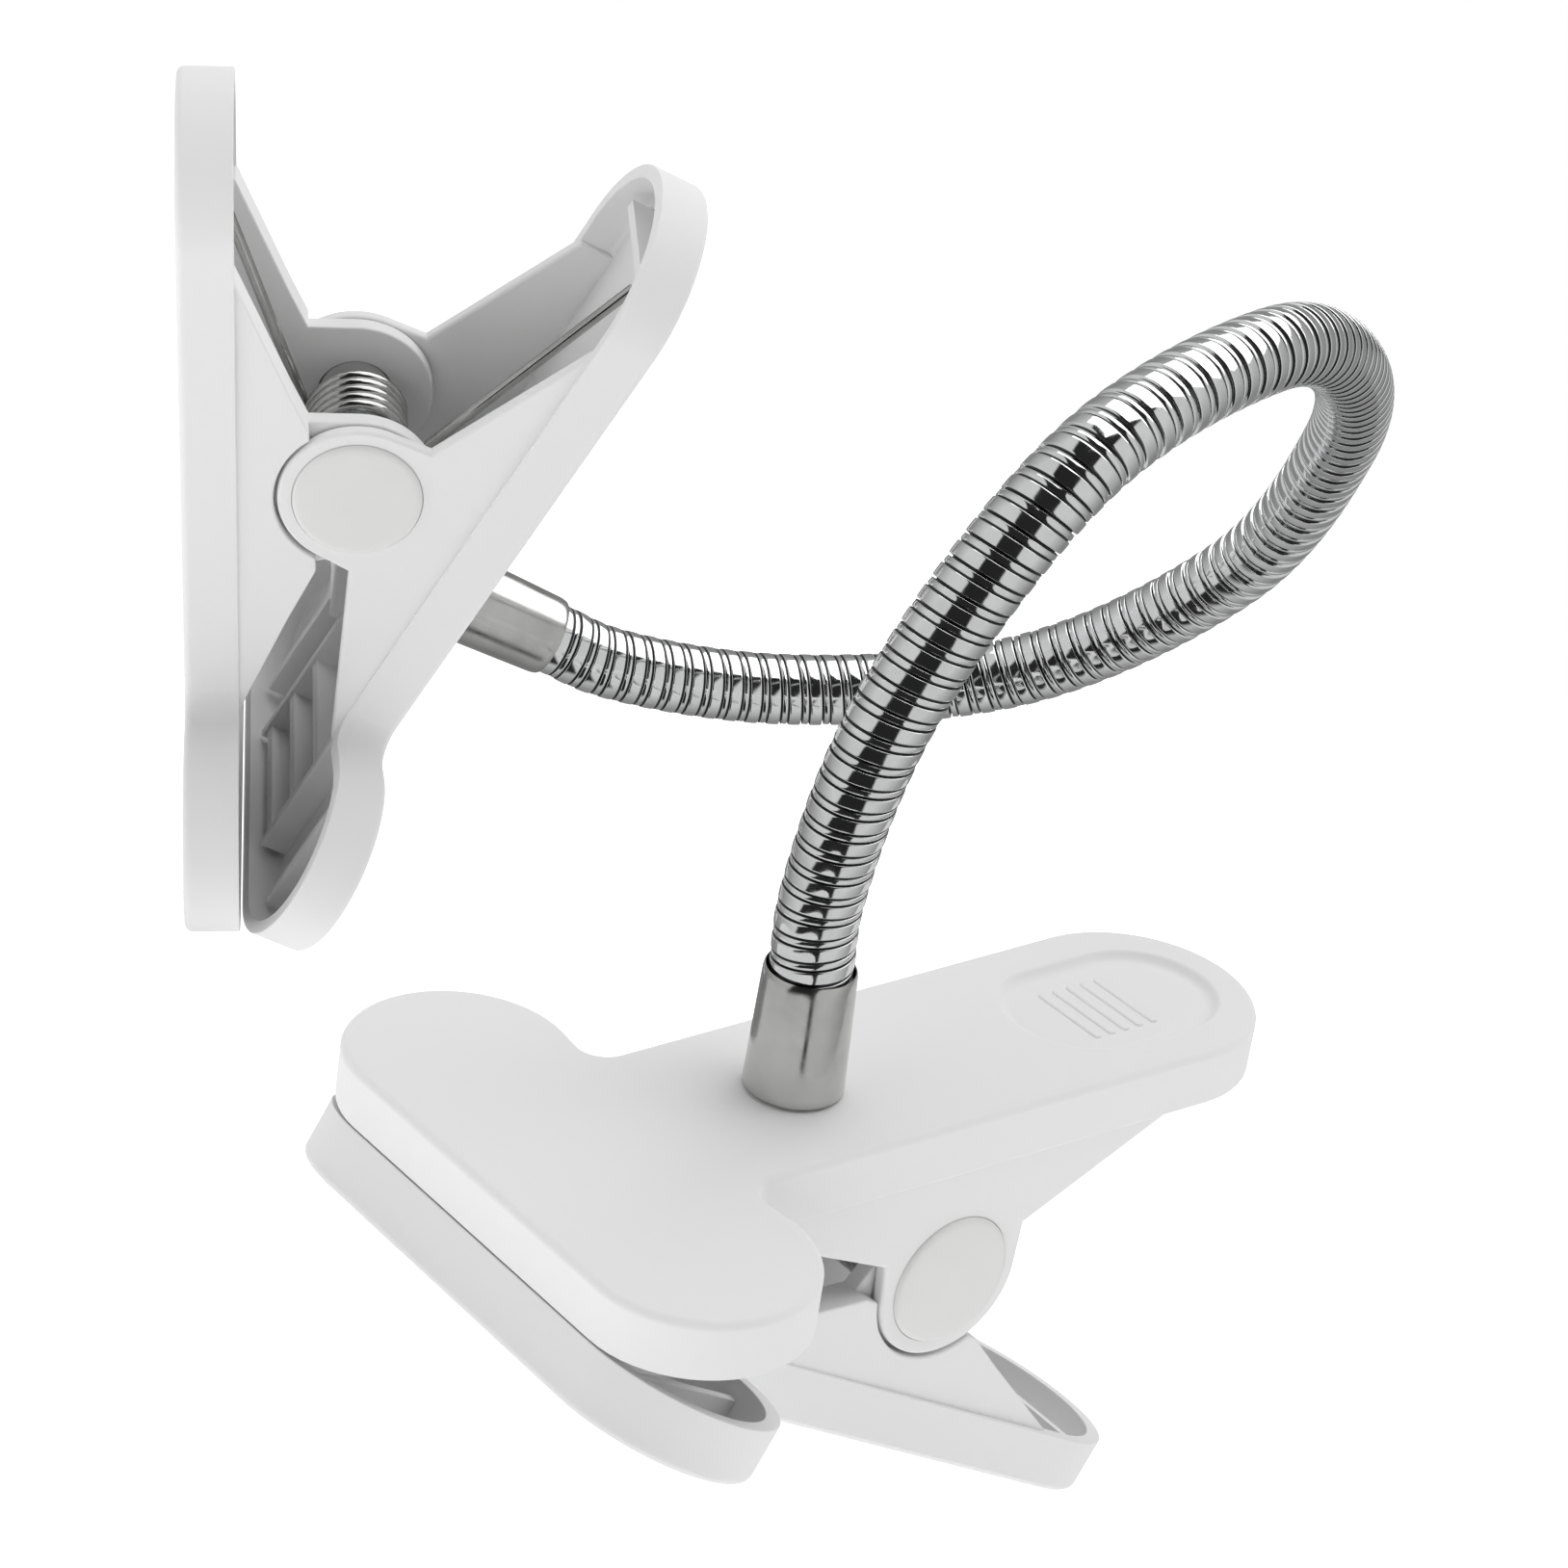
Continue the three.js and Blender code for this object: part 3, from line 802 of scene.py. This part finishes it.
def upper_jaw(clip):
    cheek = [(UPPER_CHEEK_BACK, WEB_TOP), (UPPER_CHEEK_BACK, RIM), UPPER_EAR_BACK]
    cheek += arc((0, 0), EAR_RADIUS, 0, -math.pi, EAR_STEPS)
    cheek += [UPPER_EAR_FRONT, (UPPER_CHEEK_FRONT, RIM), (UPPER_CHEEK_FRONT, WEB_TOP)]
    jaw = jaw_tray(f"{clip}_upper_shell")
    add_ribs(jaw)
    for side in (1, -1):
        split = side * CHEEK_SPLIT
        plate = side_plate("cheek", cheek, split, side * CHEEK_OUTER, UPPER_CHEEK_BEVEL)
        boolean(jaw, plate, "UNION")
        beyond = side * (CHEEK_OUTER + CUT_BEYOND)
        seat = disc_across("seat", CAP_RADIUS + SEAT_GAP, side * CAP_SEAT, beyond)
        boolean(jaw, seat, "DIFFERENCE")
    boolean(jaw, pivot_bore(), "DIFFERENCE")
    hole = bored("hole", STUD_HOLE, TRAY - CUT_BEYOND, FACE + CUT_BEYOND)
    hole.data.transform(Matrix.Translation((FERRULE_X, 0, 0)))
    boolean(jaw, hole, "DIFFERENCE")
    boolean(jaw, mark_ring(), "DIFFERENCE")
    thumb_rest(jaw)
    settle(jaw, UPPER[clip])
    dress(jaw, PLASTIC, "clip_plastic", f"{clip}_top", f"{clip}_upper_jaw")


def lower_jaw(clip):
    handle_side = [(LOWER_CHEEK_BACK, WEB_TOP), (LOWER_CHEEK_BACK, RIM), *LOWER_EAR_BACK]
    head_side = [*LOWER_EAR_FRONT, (LOWER_CHEEK_FRONT, RIM), (LOWER_CHEEK_FRONT, WEB_TOP)]
    ear = handle_side + arc((0, 0), EAR_RADIUS, 0, -math.pi, EAR_STEPS) + head_side
    ear_face = CHEEK_SPLIT - EAR_GAP
    lip = [
        (0, ear_face),
        (SOCKET_RADIUS, ear_face),
        *[(SOCKET_RADIUS + grow, CHEEK_OUTER + over) for grow, over in SOCKET_EDGE],
        (0, CHEEK_OUTER + CUT_BEYOND),
    ]
    jaw = jaw_tray(f"{clip}_lower_shell")
    add_ribs(jaw)
    for side in (1, -1):
        inner = side * (ear_face - WEB_OVERLAP)
        web = side_plate("web", handle_side + head_side, inner, side * CHEEK_OUTER)
        socket = lathe("socket", [(radius, side * y) for radius, y in lip], FINE_SIDES, "Y")
        boolean(web, socket, "DIFFERENCE")
        boolean(jaw, web, "UNION")
        boolean(jaw, side_plate("ear", ear, side * CHEEK_INNER, side * ear_face), "UNION")
    boolean(jaw, pivot_bore(), "DIFFERENCE")
    thumb_rest(jaw)
    settle(jaw, LOWER[clip] @ OVER)
    dress(jaw, PLASTIC, "clip_plastic", f"{clip}_base", f"{clip}_lower_jaw")


def pivot_cap(clip, side):
    """A push-on cap with a broad bevel and a slightly domed middle."""
    hub_start = CHEEK_INNER + FIT
    head_start = CAP_SEAT + FIT
    bore = PIN_RADIUS + FIT
    bore_end = PIN_HALF_LENGTH + FIT
    profile = [
        (0, bore_end),
        (bore, bore_end),
        (bore, hub_start),
        (HUB_RADIUS, hub_start),
        (HUB_RADIUS, head_start),
        (CAP_RADIUS, head_start),
        *[(CAP_RADIUS - inset, CAP_FACE - back) for inset, back in CAP_DOME],
        (0, CAP_FACE),
    ]
    label = "right" if side > 0 else "left"
    cap = lathe(f"{clip}_cap_{label}", profile, FINE_SIDES, "Y")
    settle(cap, LOWER[clip] if side > 0 else LOWER[clip] @ OVER, ROUND_SHARP_EDGE)
    dress(cap, PLASTIC, "clip_plastic", f"{clip}_base", f"{clip}_pivot_cap_{label}")


def pivot_pin(clip):
    end = PIN_HALF_LENGTH
    profile = [
        (0, -end),
        (PIN_RADIUS - PIN_CHAMFER, -end),
        (PIN_RADIUS, -end + PIN_CHAMFER),
        (PIN_RADIUS, end - PIN_CHAMFER),
        (PIN_RADIUS - PIN_CHAMFER, end),
        (0, end),
    ]
    pin = lathe(f"{clip}_pin", profile, SMALL_SIDES, "Y")
    settle(pin, LOWER[clip])
    dress(pin, PLATED, "plated_steel", f"{clip}_base", f"{clip}_pivot_pin")


# ---- Torsion spring ----
def frames_along(points):
    """A tangent and a side vector at each point, the side carried along without twist."""
    tangents = []
    for i in range(len(points)):
        step = points[min(i + 1, len(points) - 1)] - points[max(i - 1, 0)]
        tangents.append(step.normalized())
    side = tangents[0].orthogonal().normalized()
    sides = []
    for tangent in tangents:
        side = (side - tangent * side.dot(tangent)).normalized()
        sides.append(side.copy())
    return list(zip(points, tangents, sides))


def tube(name, points, radius):
    """A round wire along the points, with rounded ends."""
    rounding = [(radius * shift, radius * size) for shift, size in WIRE_END]
    rings = []
    stations = frames_along(points)
    for i, (point, tangent, side) in enumerate(stations):
        other = tangent.cross(side)
        rows = [(0, radius)]
        if i == 0:
            rows = [(-shift, size) for shift, size in reversed(rounding)] + rows
        if i == len(stations) - 1:
            rows = rows + rounding
        for shift, size in rows:
            ring = []
            for k in range(WIRE_SIDES):
                angle = 2 * math.pi * k / WIRE_SIDES
                out = side * math.cos(angle) + other * math.sin(angle)
                ring.append(point + tangent * shift + out * size)
            rings.append(ring)
    return loft(name, rings)


def torsion_spring(clip):
    """Leg on the upper jaw, coil round the pivot, leg on the lower jaw."""
    leg_height = TRAY - LEG_GAP - WIRE_RADIUS
    reach = math.hypot(LEG_END, leg_height)
    leg = math.sqrt(reach**2 - COIL_RADIUS**2)
    leg_turn = math.atan2(leg_height, LEG_END) + math.acos(COIL_RADIUS / reach)
    turned = 2 * math.pi * COIL_TURNS - 2 * leg_turn - CLOSED
    rise = COIL_PITCH * turned / (2 * math.pi)

    def on_coil(turn):
        angle = leg_turn + CLOSED + turn
        across = COIL_SHIFT + rise * (0.5 - turn / turned)
        return Vector((COIL_RADIUS * math.cos(angle), across, COIL_RADIUS * math.sin(angle)))

    first = leg_turn + CLOSED - math.pi / 2
    last = leg_turn + CLOSED + turned + math.pi / 2
    upper_leg = Vector((math.cos(first), 0, math.sin(first))) * leg
    lower_leg = Vector((math.cos(last), 0, math.sin(last))) * leg
    turns = round(turned * COIL_STEPS / (2 * math.pi))
    points = [on_coil(0) + upper_leg * (1 - i / LEG_STEPS) for i in range(LEG_STEPS)]
    points += [on_coil(turned * i / turns) for i in range(turns + 1)]
    points += [on_coil(turned) + lower_leg * (i + 1) / LEG_STEPS for i in range(LEG_STEPS)]
    spring = tube(f"{clip}_spring", points, WIRE_RADIUS)
    settle(spring, LOWER[clip], WIRE_SHARP_EDGE)
    dress(spring, SPRING, "spring_steel", None, f"{clip}_torsion_spring")
    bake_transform(spring)


# ---- Fittings ----
def ferrule(clip):
    """A tapered sleeve with a thick floor, rolled in round the hose at its mouth."""
    length = FERRULE_LENGTH
    profile = [
        (STUD_HOLE, FIT),
        *[(FERRULE_BASE - inset, FIT + over) for inset, over in FERRULE_FOOT],
        *[(FERRULE_TOP - inset, length - under) for inset, under in FERRULE_MOUTH],
        (FERRULE_BORE + FERRULE_BORE_EDGE, length),
        (FERRULE_BORE, length - 2 * FERRULE_BORE_EDGE),
        (FERRULE_BORE, FIT + FERRULE_FLOOR),
        (STUD_HOLE, FIT + FERRULE_FLOOR),
    ]
    sleeve = lathe(f"{clip}_sleeve", profile, FINE_SIDES)
    settle(sleeve, FITTINGS[clip], ROUND_SHARP_EDGE)
    dress(sleeve, NICKEL, "ferrule_plating", f"{clip}_top", f"{clip}_ferrule")


def end_plug(clip):
    """A threaded stud under the jaw, a flange in the ferrule and a spigot in the hose."""
    thread_top = TRAY - FACE
    stud_end = thread_top - WASHER_THICKNESS - NUT_HEIGHT - STUD_BEYOND_NUT
    profile = [(0, stud_end), (STUD_RADIUS - PLUG_CHAMFER, stud_end)]
    height = stud_end + PLUG_CHAMFER
    while height < thread_top:
        profile.append((STUD_RADIUS, height))
        profile.append((STUD_RADIUS - THREAD_DEPTH, height + THREAD_PITCH / 2))
        height += THREAD_PITCH
    profile += [
        (STUD_RADIUS, thread_top + PLUG_CHAMFER),
        (STUD_RADIUS, PLUG_SHOULDER),
        (FERRULE_BORE - FIT, PLUG_SHOULDER),
        (FERRULE_BORE - FIT, PLUG_FLANGE),
        (HOSE_BORE - FIT, PLUG_FLANGE),
        (HOSE_BORE - FIT, PLUG_SPIGOT - PLUG_CHAMFER),
        (HOSE_BORE - FIT - PLUG_CHAMFER, PLUG_SPIGOT),
        (0, PLUG_SPIGOT),
    ]
    plug = lathe(f"{clip}_plug", profile, SMALL_SIDES)
    settle(plug, FITTINGS[clip])
    dress(plug, PLATED, "plated_steel", f"{clip}_top", f"{clip}_hose_end_plug")


def lock_washer(clip):
    top = TRAY - FACE - FIT
    low = top - WASHER_THICKNESS
    profile = [
        (STUD_HOLE, low + WASHER_HOLE_EDGE),
        (STUD_HOLE + WASHER_HOLE_EDGE, low),
        (WASHER_RADIUS - WASHER_EDGE, low),
        (WASHER_RADIUS, low + WASHER_EDGE),
        (WASHER_RADIUS, top - WASHER_EDGE),
        (WASHER_RADIUS - WASHER_EDGE, top),
        (STUD_HOLE + WASHER_HOLE_EDGE, top),
        (STUD_HOLE, top - WASHER_HOLE_EDGE),
    ]
    washer = lathe(f"{clip}_washer", profile)
    settle(washer, FITTINGS[clip])
    dress(washer, PLATED, "plated_steel", f"{clip}_top", f"{clip}_lock_washer")


def hex_nut(clip):
    """A hexagon with both faces chamfered, as a turned cone cuts its corners."""
    top = TRAY - FACE - 2 * FIT - WASHER_THICKNESS
    low = top - NUT_HEIGHT
    hexagon = arc((0, 0), NUT_RADIUS, 0, 2 * math.pi * 5 / 6, 5)
    nut = loft(f"{clip}_nut", [raised(hexagon, low), raised(hexagon, top)])
    blank = lathe("blank", [
        (0, low),
        (NUT_RADIUS - 2 * NUT_CHAMFER, low),
        (NUT_RADIUS + NUT_CLEAR, low + NUT_CHAMFER),
        (NUT_RADIUS + NUT_CLEAR, top - NUT_CHAMFER),
        (NUT_RADIUS - 2 * NUT_CHAMFER, top),
        (0, top),
    ])
    boolean(nut, blank, "INTERSECT")
    boolean(nut, bored("hole", STUD_HOLE, low - CUT_BEYOND, top + CUT_BEYOND), "DIFFERENCE")
    settle(nut, FITTINGS[clip])
    dress(nut, PLATED, "plated_steel", f"{clip}_top", f"{clip}_hex_nut")


for clip in ("clip_a", "clip_b"):
    upper_jaw(clip)
    lower_jaw(clip)
    pivot_cap(clip, 1)
    pivot_cap(clip, -1)
    pivot_pin(clip)
    torsion_spring(clip)
    ferrule(clip)
    end_plug(clip)
    lock_washer(clip)
    hex_nut(clip)


# ---- Gooseneck ----
def on_fittings(clip, height):
    return FITTINGS[clip] @ Vector((0, 0, height * MM))


def centripetal(points, steps):
    """Points along a centripetal Catmull-Rom curve that runs through the given ones."""
    line = [2 * points[0] - points[1], *points, 2 * points[-1] - points[-2]]
    result = []
    for i in range(1, len(line) - 2):
        p0, p1, p2, p3 = line[i - 1:i + 3]
        d0, d1, d2 = (math.sqrt((b - a).length) for a, b in ((p0, p1), (p1, p2), (p2, p3)))
        leave = ((p1 - p0) / d0 - (p2 - p0) / (d0 + d1) + (p2 - p1) / d1) * d1
        arrive = ((p2 - p1) / d1 - (p3 - p1) / (d1 + d2) + (p3 - p2) / d2) * d1
        for k in range(steps):
            t = k / steps
            cubic = 2 * p1 - 2 * p2 + leave + arrive
            square = -3 * p1 + 3 * p2 - 2 * leave - arrive
            result.append(p1 + leave * t + square * t**2 + cubic * t**3)
    return result + [points[-1]]


HOSE_START = PLUG_FLANGE + FIT
route = [on_fittings("clip_a", HOSE_START)]
route += centripetal([
    on_fittings("clip_a", FERRULE_LENGTH),
    on_fittings("clip_a", FERRULE_LENGTH + LEAD),
    *[Vector(point) * MM + SHIFT for point in ROUTE],
    on_fittings("clip_b", FERRULE_LENGTH + LEAD),
    on_fittings("clip_b", FERRULE_LENGTH),
], ROUTE_STEPS)
route.append(on_fittings("clip_b", HOSE_START))

marks = [0.0]
for here, after in zip(route, route[1:]):
    marks.append(marks[-1] + (after - here).length)
hose_length = marks[-1]
stations = frames_along(route)


def along_hose(distance):
    """Centre, side and other side of the hose at a distance along it."""
    distance = min(max(distance, 0), hose_length)
    low, high = 0, len(marks) - 1
    while high - low > 1:
        middle = (low + high) // 2
        if marks[middle] <= distance:
            low = middle
        else:
            high = middle
    share = (distance - marks[low]) / (marks[high] - marks[low])
    first, second = stations[low], stations[high]
    point = first[0].lerp(second[0], share)
    tangent = first[1].lerp(second[1], share).normalized()
    side = first[2].lerp(second[2], share)
    side = (side - tangent * side.dot(tangent)).normalized()
    return point, side, tangent.cross(side)


turn_count = round(hose_length / (WINDING_PITCH * MM))
pitch = hose_length / turn_count
row_count = len(WINDING)


def hose_piece(index, first_row, last_row):
    """Rows of the winding as one closed body, cut off at both ends along the strip's helix."""
    ids = {}
    outer = []
    inner = []

    def vertex(row, column):
        if column == HOSE_SIDES and row + row_count <= last_row:
            row, column = row + row_count, 0
        if (row, column) not in ids:
            share, back = WINDING[row % row_count]
            distance = pitch * (row // row_count + share + column / HOSE_SIDES)
            centre, side, other = along_hose(distance)
            angle = 2 * math.pi * column / HOSE_SIDES
            out = side * math.cos(angle) + other * math.sin(angle)
            ids[row, column] = len(outer)
            outer.append(centre + out * (HOSE_RADIUS - back) * MM)
            inner.append(centre + out * HOSE_BORE * MM)
        return ids[row, column]

    quads = []
    for row in range(first_row, last_row):
        for column in range(HOSE_SIDES):
            quads.append((
                vertex(row, column),
                vertex(row + 1, column),
                vertex(row + 1, column + 1),
                vertex(row, column + 1),
            ))
    count = len(outer)
    edges = [edge for quad in quads for edge in zip(quad, quad[1:] + quad[:1])]
    known = set(edges)
    faces = list(quads)
    faces += [tuple(count + v for v in reversed(quad)) for quad in quads]
    for a, b in edges:
        if (b, a) not in known:
            faces.append((b, a, count + a, count + b))
    mesh = bpy.data.meshes.new(f"hose_{index}")
    mesh.from_pydata([tuple(v) for v in outer + inner], [], faces)
    mesh.materials.append(HOSE)
    mesh.materials.append(GROOVE_SHADE)
    for place, quad in enumerate(mesh.polygons[:len(quads)]):
        row = first_row + place // HOSE_SIDES
        # Rows in the grooves take the painted groove shade.
        quad.material_index = 1 if row % row_count in SHADED_GROOVE_ROWS else 0
    body = bmesh.new()
    body.from_mesh(mesh)
    bmesh.ops.recalc_face_normals(body, faces=body.faces)
    for face in body.faces:
        face.smooth = True
    for edge in body.edges:
        edge.smooth = edge.calc_face_angle(0) < math.radians(WIRE_SHARP_EDGE)
    body.to_mesh(mesh)
    body.free()
    return link(f"hose_{index}", mesh)


inside_ferrule = FERRULE_LENGTH - HOSE_START
bend_spacing = (hose_length / MM - 2 * inside_ferrule) / BEND_COUNT
cuts = [0]
for i in range(1, BEND_COUNT):
    middle = (inside_ferrule + bend_spacing * i) * MM - pitch / 2
    cuts.append(round(middle / pitch * row_count))
cuts.append((turn_count - 1) * row_count)
for i in range(1, BEND_COUNT + 1):
    hose = hose_piece(i, cuts[i - 1], cuts[i])
    nodes = [f"hose_stretch_{i}"]
    if i == BEND_COUNT:
        nodes.append(f"hose_stretch_{i + 1}")
    dress(hose, HOSE, "hose_chrome", None, *nodes)
    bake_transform(hose)

for name, node in frame["nodes"].items():
    if name.startswith("core_wire"):
        node.data.materials.clear()
        node.data.materials.append(CORE)


# ---- Floor and light ----
TOP_LIGHT_HEIGHT = 1.1
TOP_LIGHT_SIZE = 1.4
TOP_LIGHT_POWER = 12

FLOOR_HALF = 6
FLOOR_DROP = 0.0002
FLOOR_GLOW_NEAR = 0.46
FLOOR_GLOW_FAR = 0.85       # so that the floor runs into the backdrop without a line
FLOOR_GLOW_START = 0.3      # metres from the origin
FLOOR_GLOW_END = 0.9

WORLD_LIGHT = 0.7
GAP_LEAN = math.radians(25)
GAP_HALF_WIDTH = 0.5
GAP_EDGE = 0.03
GAP_LIGHT = 0.03            # in the gap, as a share of the softboxes
GAP_FRONT = 0.1             # the gap is on the camera's side only, and fades in over this share
ROOM_LIGHT = 0.4            # behind the object, as a share of the softboxes
ROOM_START = -0.7           # share of a direction towards the camera: the room's light
ROOM_END = 0.2              # rises to the softboxes' between these


def floor():
    """A plain pale floor that glows more with distance. Reflections don't see it."""
    mesh = bpy.data.meshes.new("floor")
    signs = ((-1, -1), (1, -1), (1, 1), (-1, 1))
    corners = [(x * FLOOR_HALF, y * FLOOR_HALF, 0) for x, y in signs]
    mesh.from_pydata(corners, [], [(0, 1, 2, 3)])
    plane = link("floor", mesh)
    plane.location.z = cad_box[0][2] - FLOOR_DROP
    material = bpy.data.materials.new("floor")
    n = Nodes(material)
    colour = n.blend(n.spread(n.noise(3, 2), 0, 1), (0.9, 0.9, 0.9), (0.91, 0.91, 0.91))
    rough = n.spread(n.noise(5, 2), 0.85, 0.95)
    normal = n.bump(n.noise(400, 2), 0.02, 0.0001)
    shader = n.finish(colour, rough, normal, 0, Emission_Color=(1, 1, 1, 1))
    away = n.add("ShaderNodeVectorMath", operation="LENGTH")
    n.join(n.coords(), away.inputs[0])
    ends = (FLOOR_GLOW_START, FLOOR_GLOW_END)
    glow = n.spread(away.outputs["Value"], FLOOR_GLOW_NEAR, FLOOR_GLOW_FAR, *ends)
    n.join(glow, shader.inputs["Emission Strength"])
    plane.data.materials.append(material)
    plane.visible_glossy = False


def world():
    """Two soft white boxes in front with an unlit gap between them, and a dimmer room behind."""
    studio = bpy.data.worlds.new("studio")
    n = Nodes(studio)
    direction = n.add("ShaderNodeTexCoord").outputs["Generated"]

    def share_along(axis):
        """How much of a direction lies along an axis, from -1 to 1."""
        dot = n.add("ShaderNodeVectorMath", operation="DOT_PRODUCT")
        dot.inputs[1].default_value = axis
        n.join(direction, dot.inputs[0])
        return dot.outputs["Value"]

    across = CAMERA_RIGHT * math.cos(GAP_LEAN) - CAMERA_UP * math.sin(GAP_LEAN)
    away = n.add("ShaderNodeMath", operation="ABSOLUTE")
    n.join(share_along(across), away.inputs[0])
    inside = n.spread(away.outputs[0], 1, 0, GAP_HALF_WIDTH - GAP_EDGE, GAP_HALF_WIDTH + GAP_EDGE)
    towards_camera = share_along(-CAMERA_FORWARD)
    gap = n.times(inside, n.spread(towards_camera, 0, 1, -GAP_FRONT, GAP_FRONT))
    room = n.spread(towards_camera, ROOM_LIGHT, 1, ROOM_START, ROOM_END)
    light = n.times(room, n.spread(gap, 1, GAP_LIGHT, 0, 1))
    glow = n.add("ShaderNodeMath", operation="MULTIPLY")
    glow.inputs[1].default_value = WORLD_LIGHT
    n.join(light, glow.inputs[0])
    seen = n.add("ShaderNodeLightPath")
    mix = n.add("ShaderNodeMix", data_type="FLOAT")
    mix.inputs[MIX_NUMBERS[1]].default_value = 1
    n.join(glow.outputs[0], mix.inputs[MIX_NUMBERS[0]])
    n.join(seen.outputs["Is Camera Ray"], mix.inputs[MIX_FACTOR])
    back = n.add("ShaderNodeBackground", Color=(1, 1, 1, 1))
    n.join(mix.outputs[MIXED_NUMBER], back.inputs["Strength"])
    out = n.add("ShaderNodeOutputWorld")
    n.join(back.outputs["Background"], out.inputs["Surface"])
    bpy.context.scene.world = studio


def top_light():
    """A square softbox over the object."""
    data = bpy.data.lights.new("top_light", "AREA")
    data.shape = "SQUARE"
    data.size = TOP_LIGHT_SIZE
    data.energy = TOP_LIGHT_POWER
    link("top_light", data).location.z = TOP_LIGHT_HEIGHT


floor()
world()
top_light()

bpy.context.scene.view_settings.view_transform = "Standard"
bpy.context.scene.view_settings.look = "None"
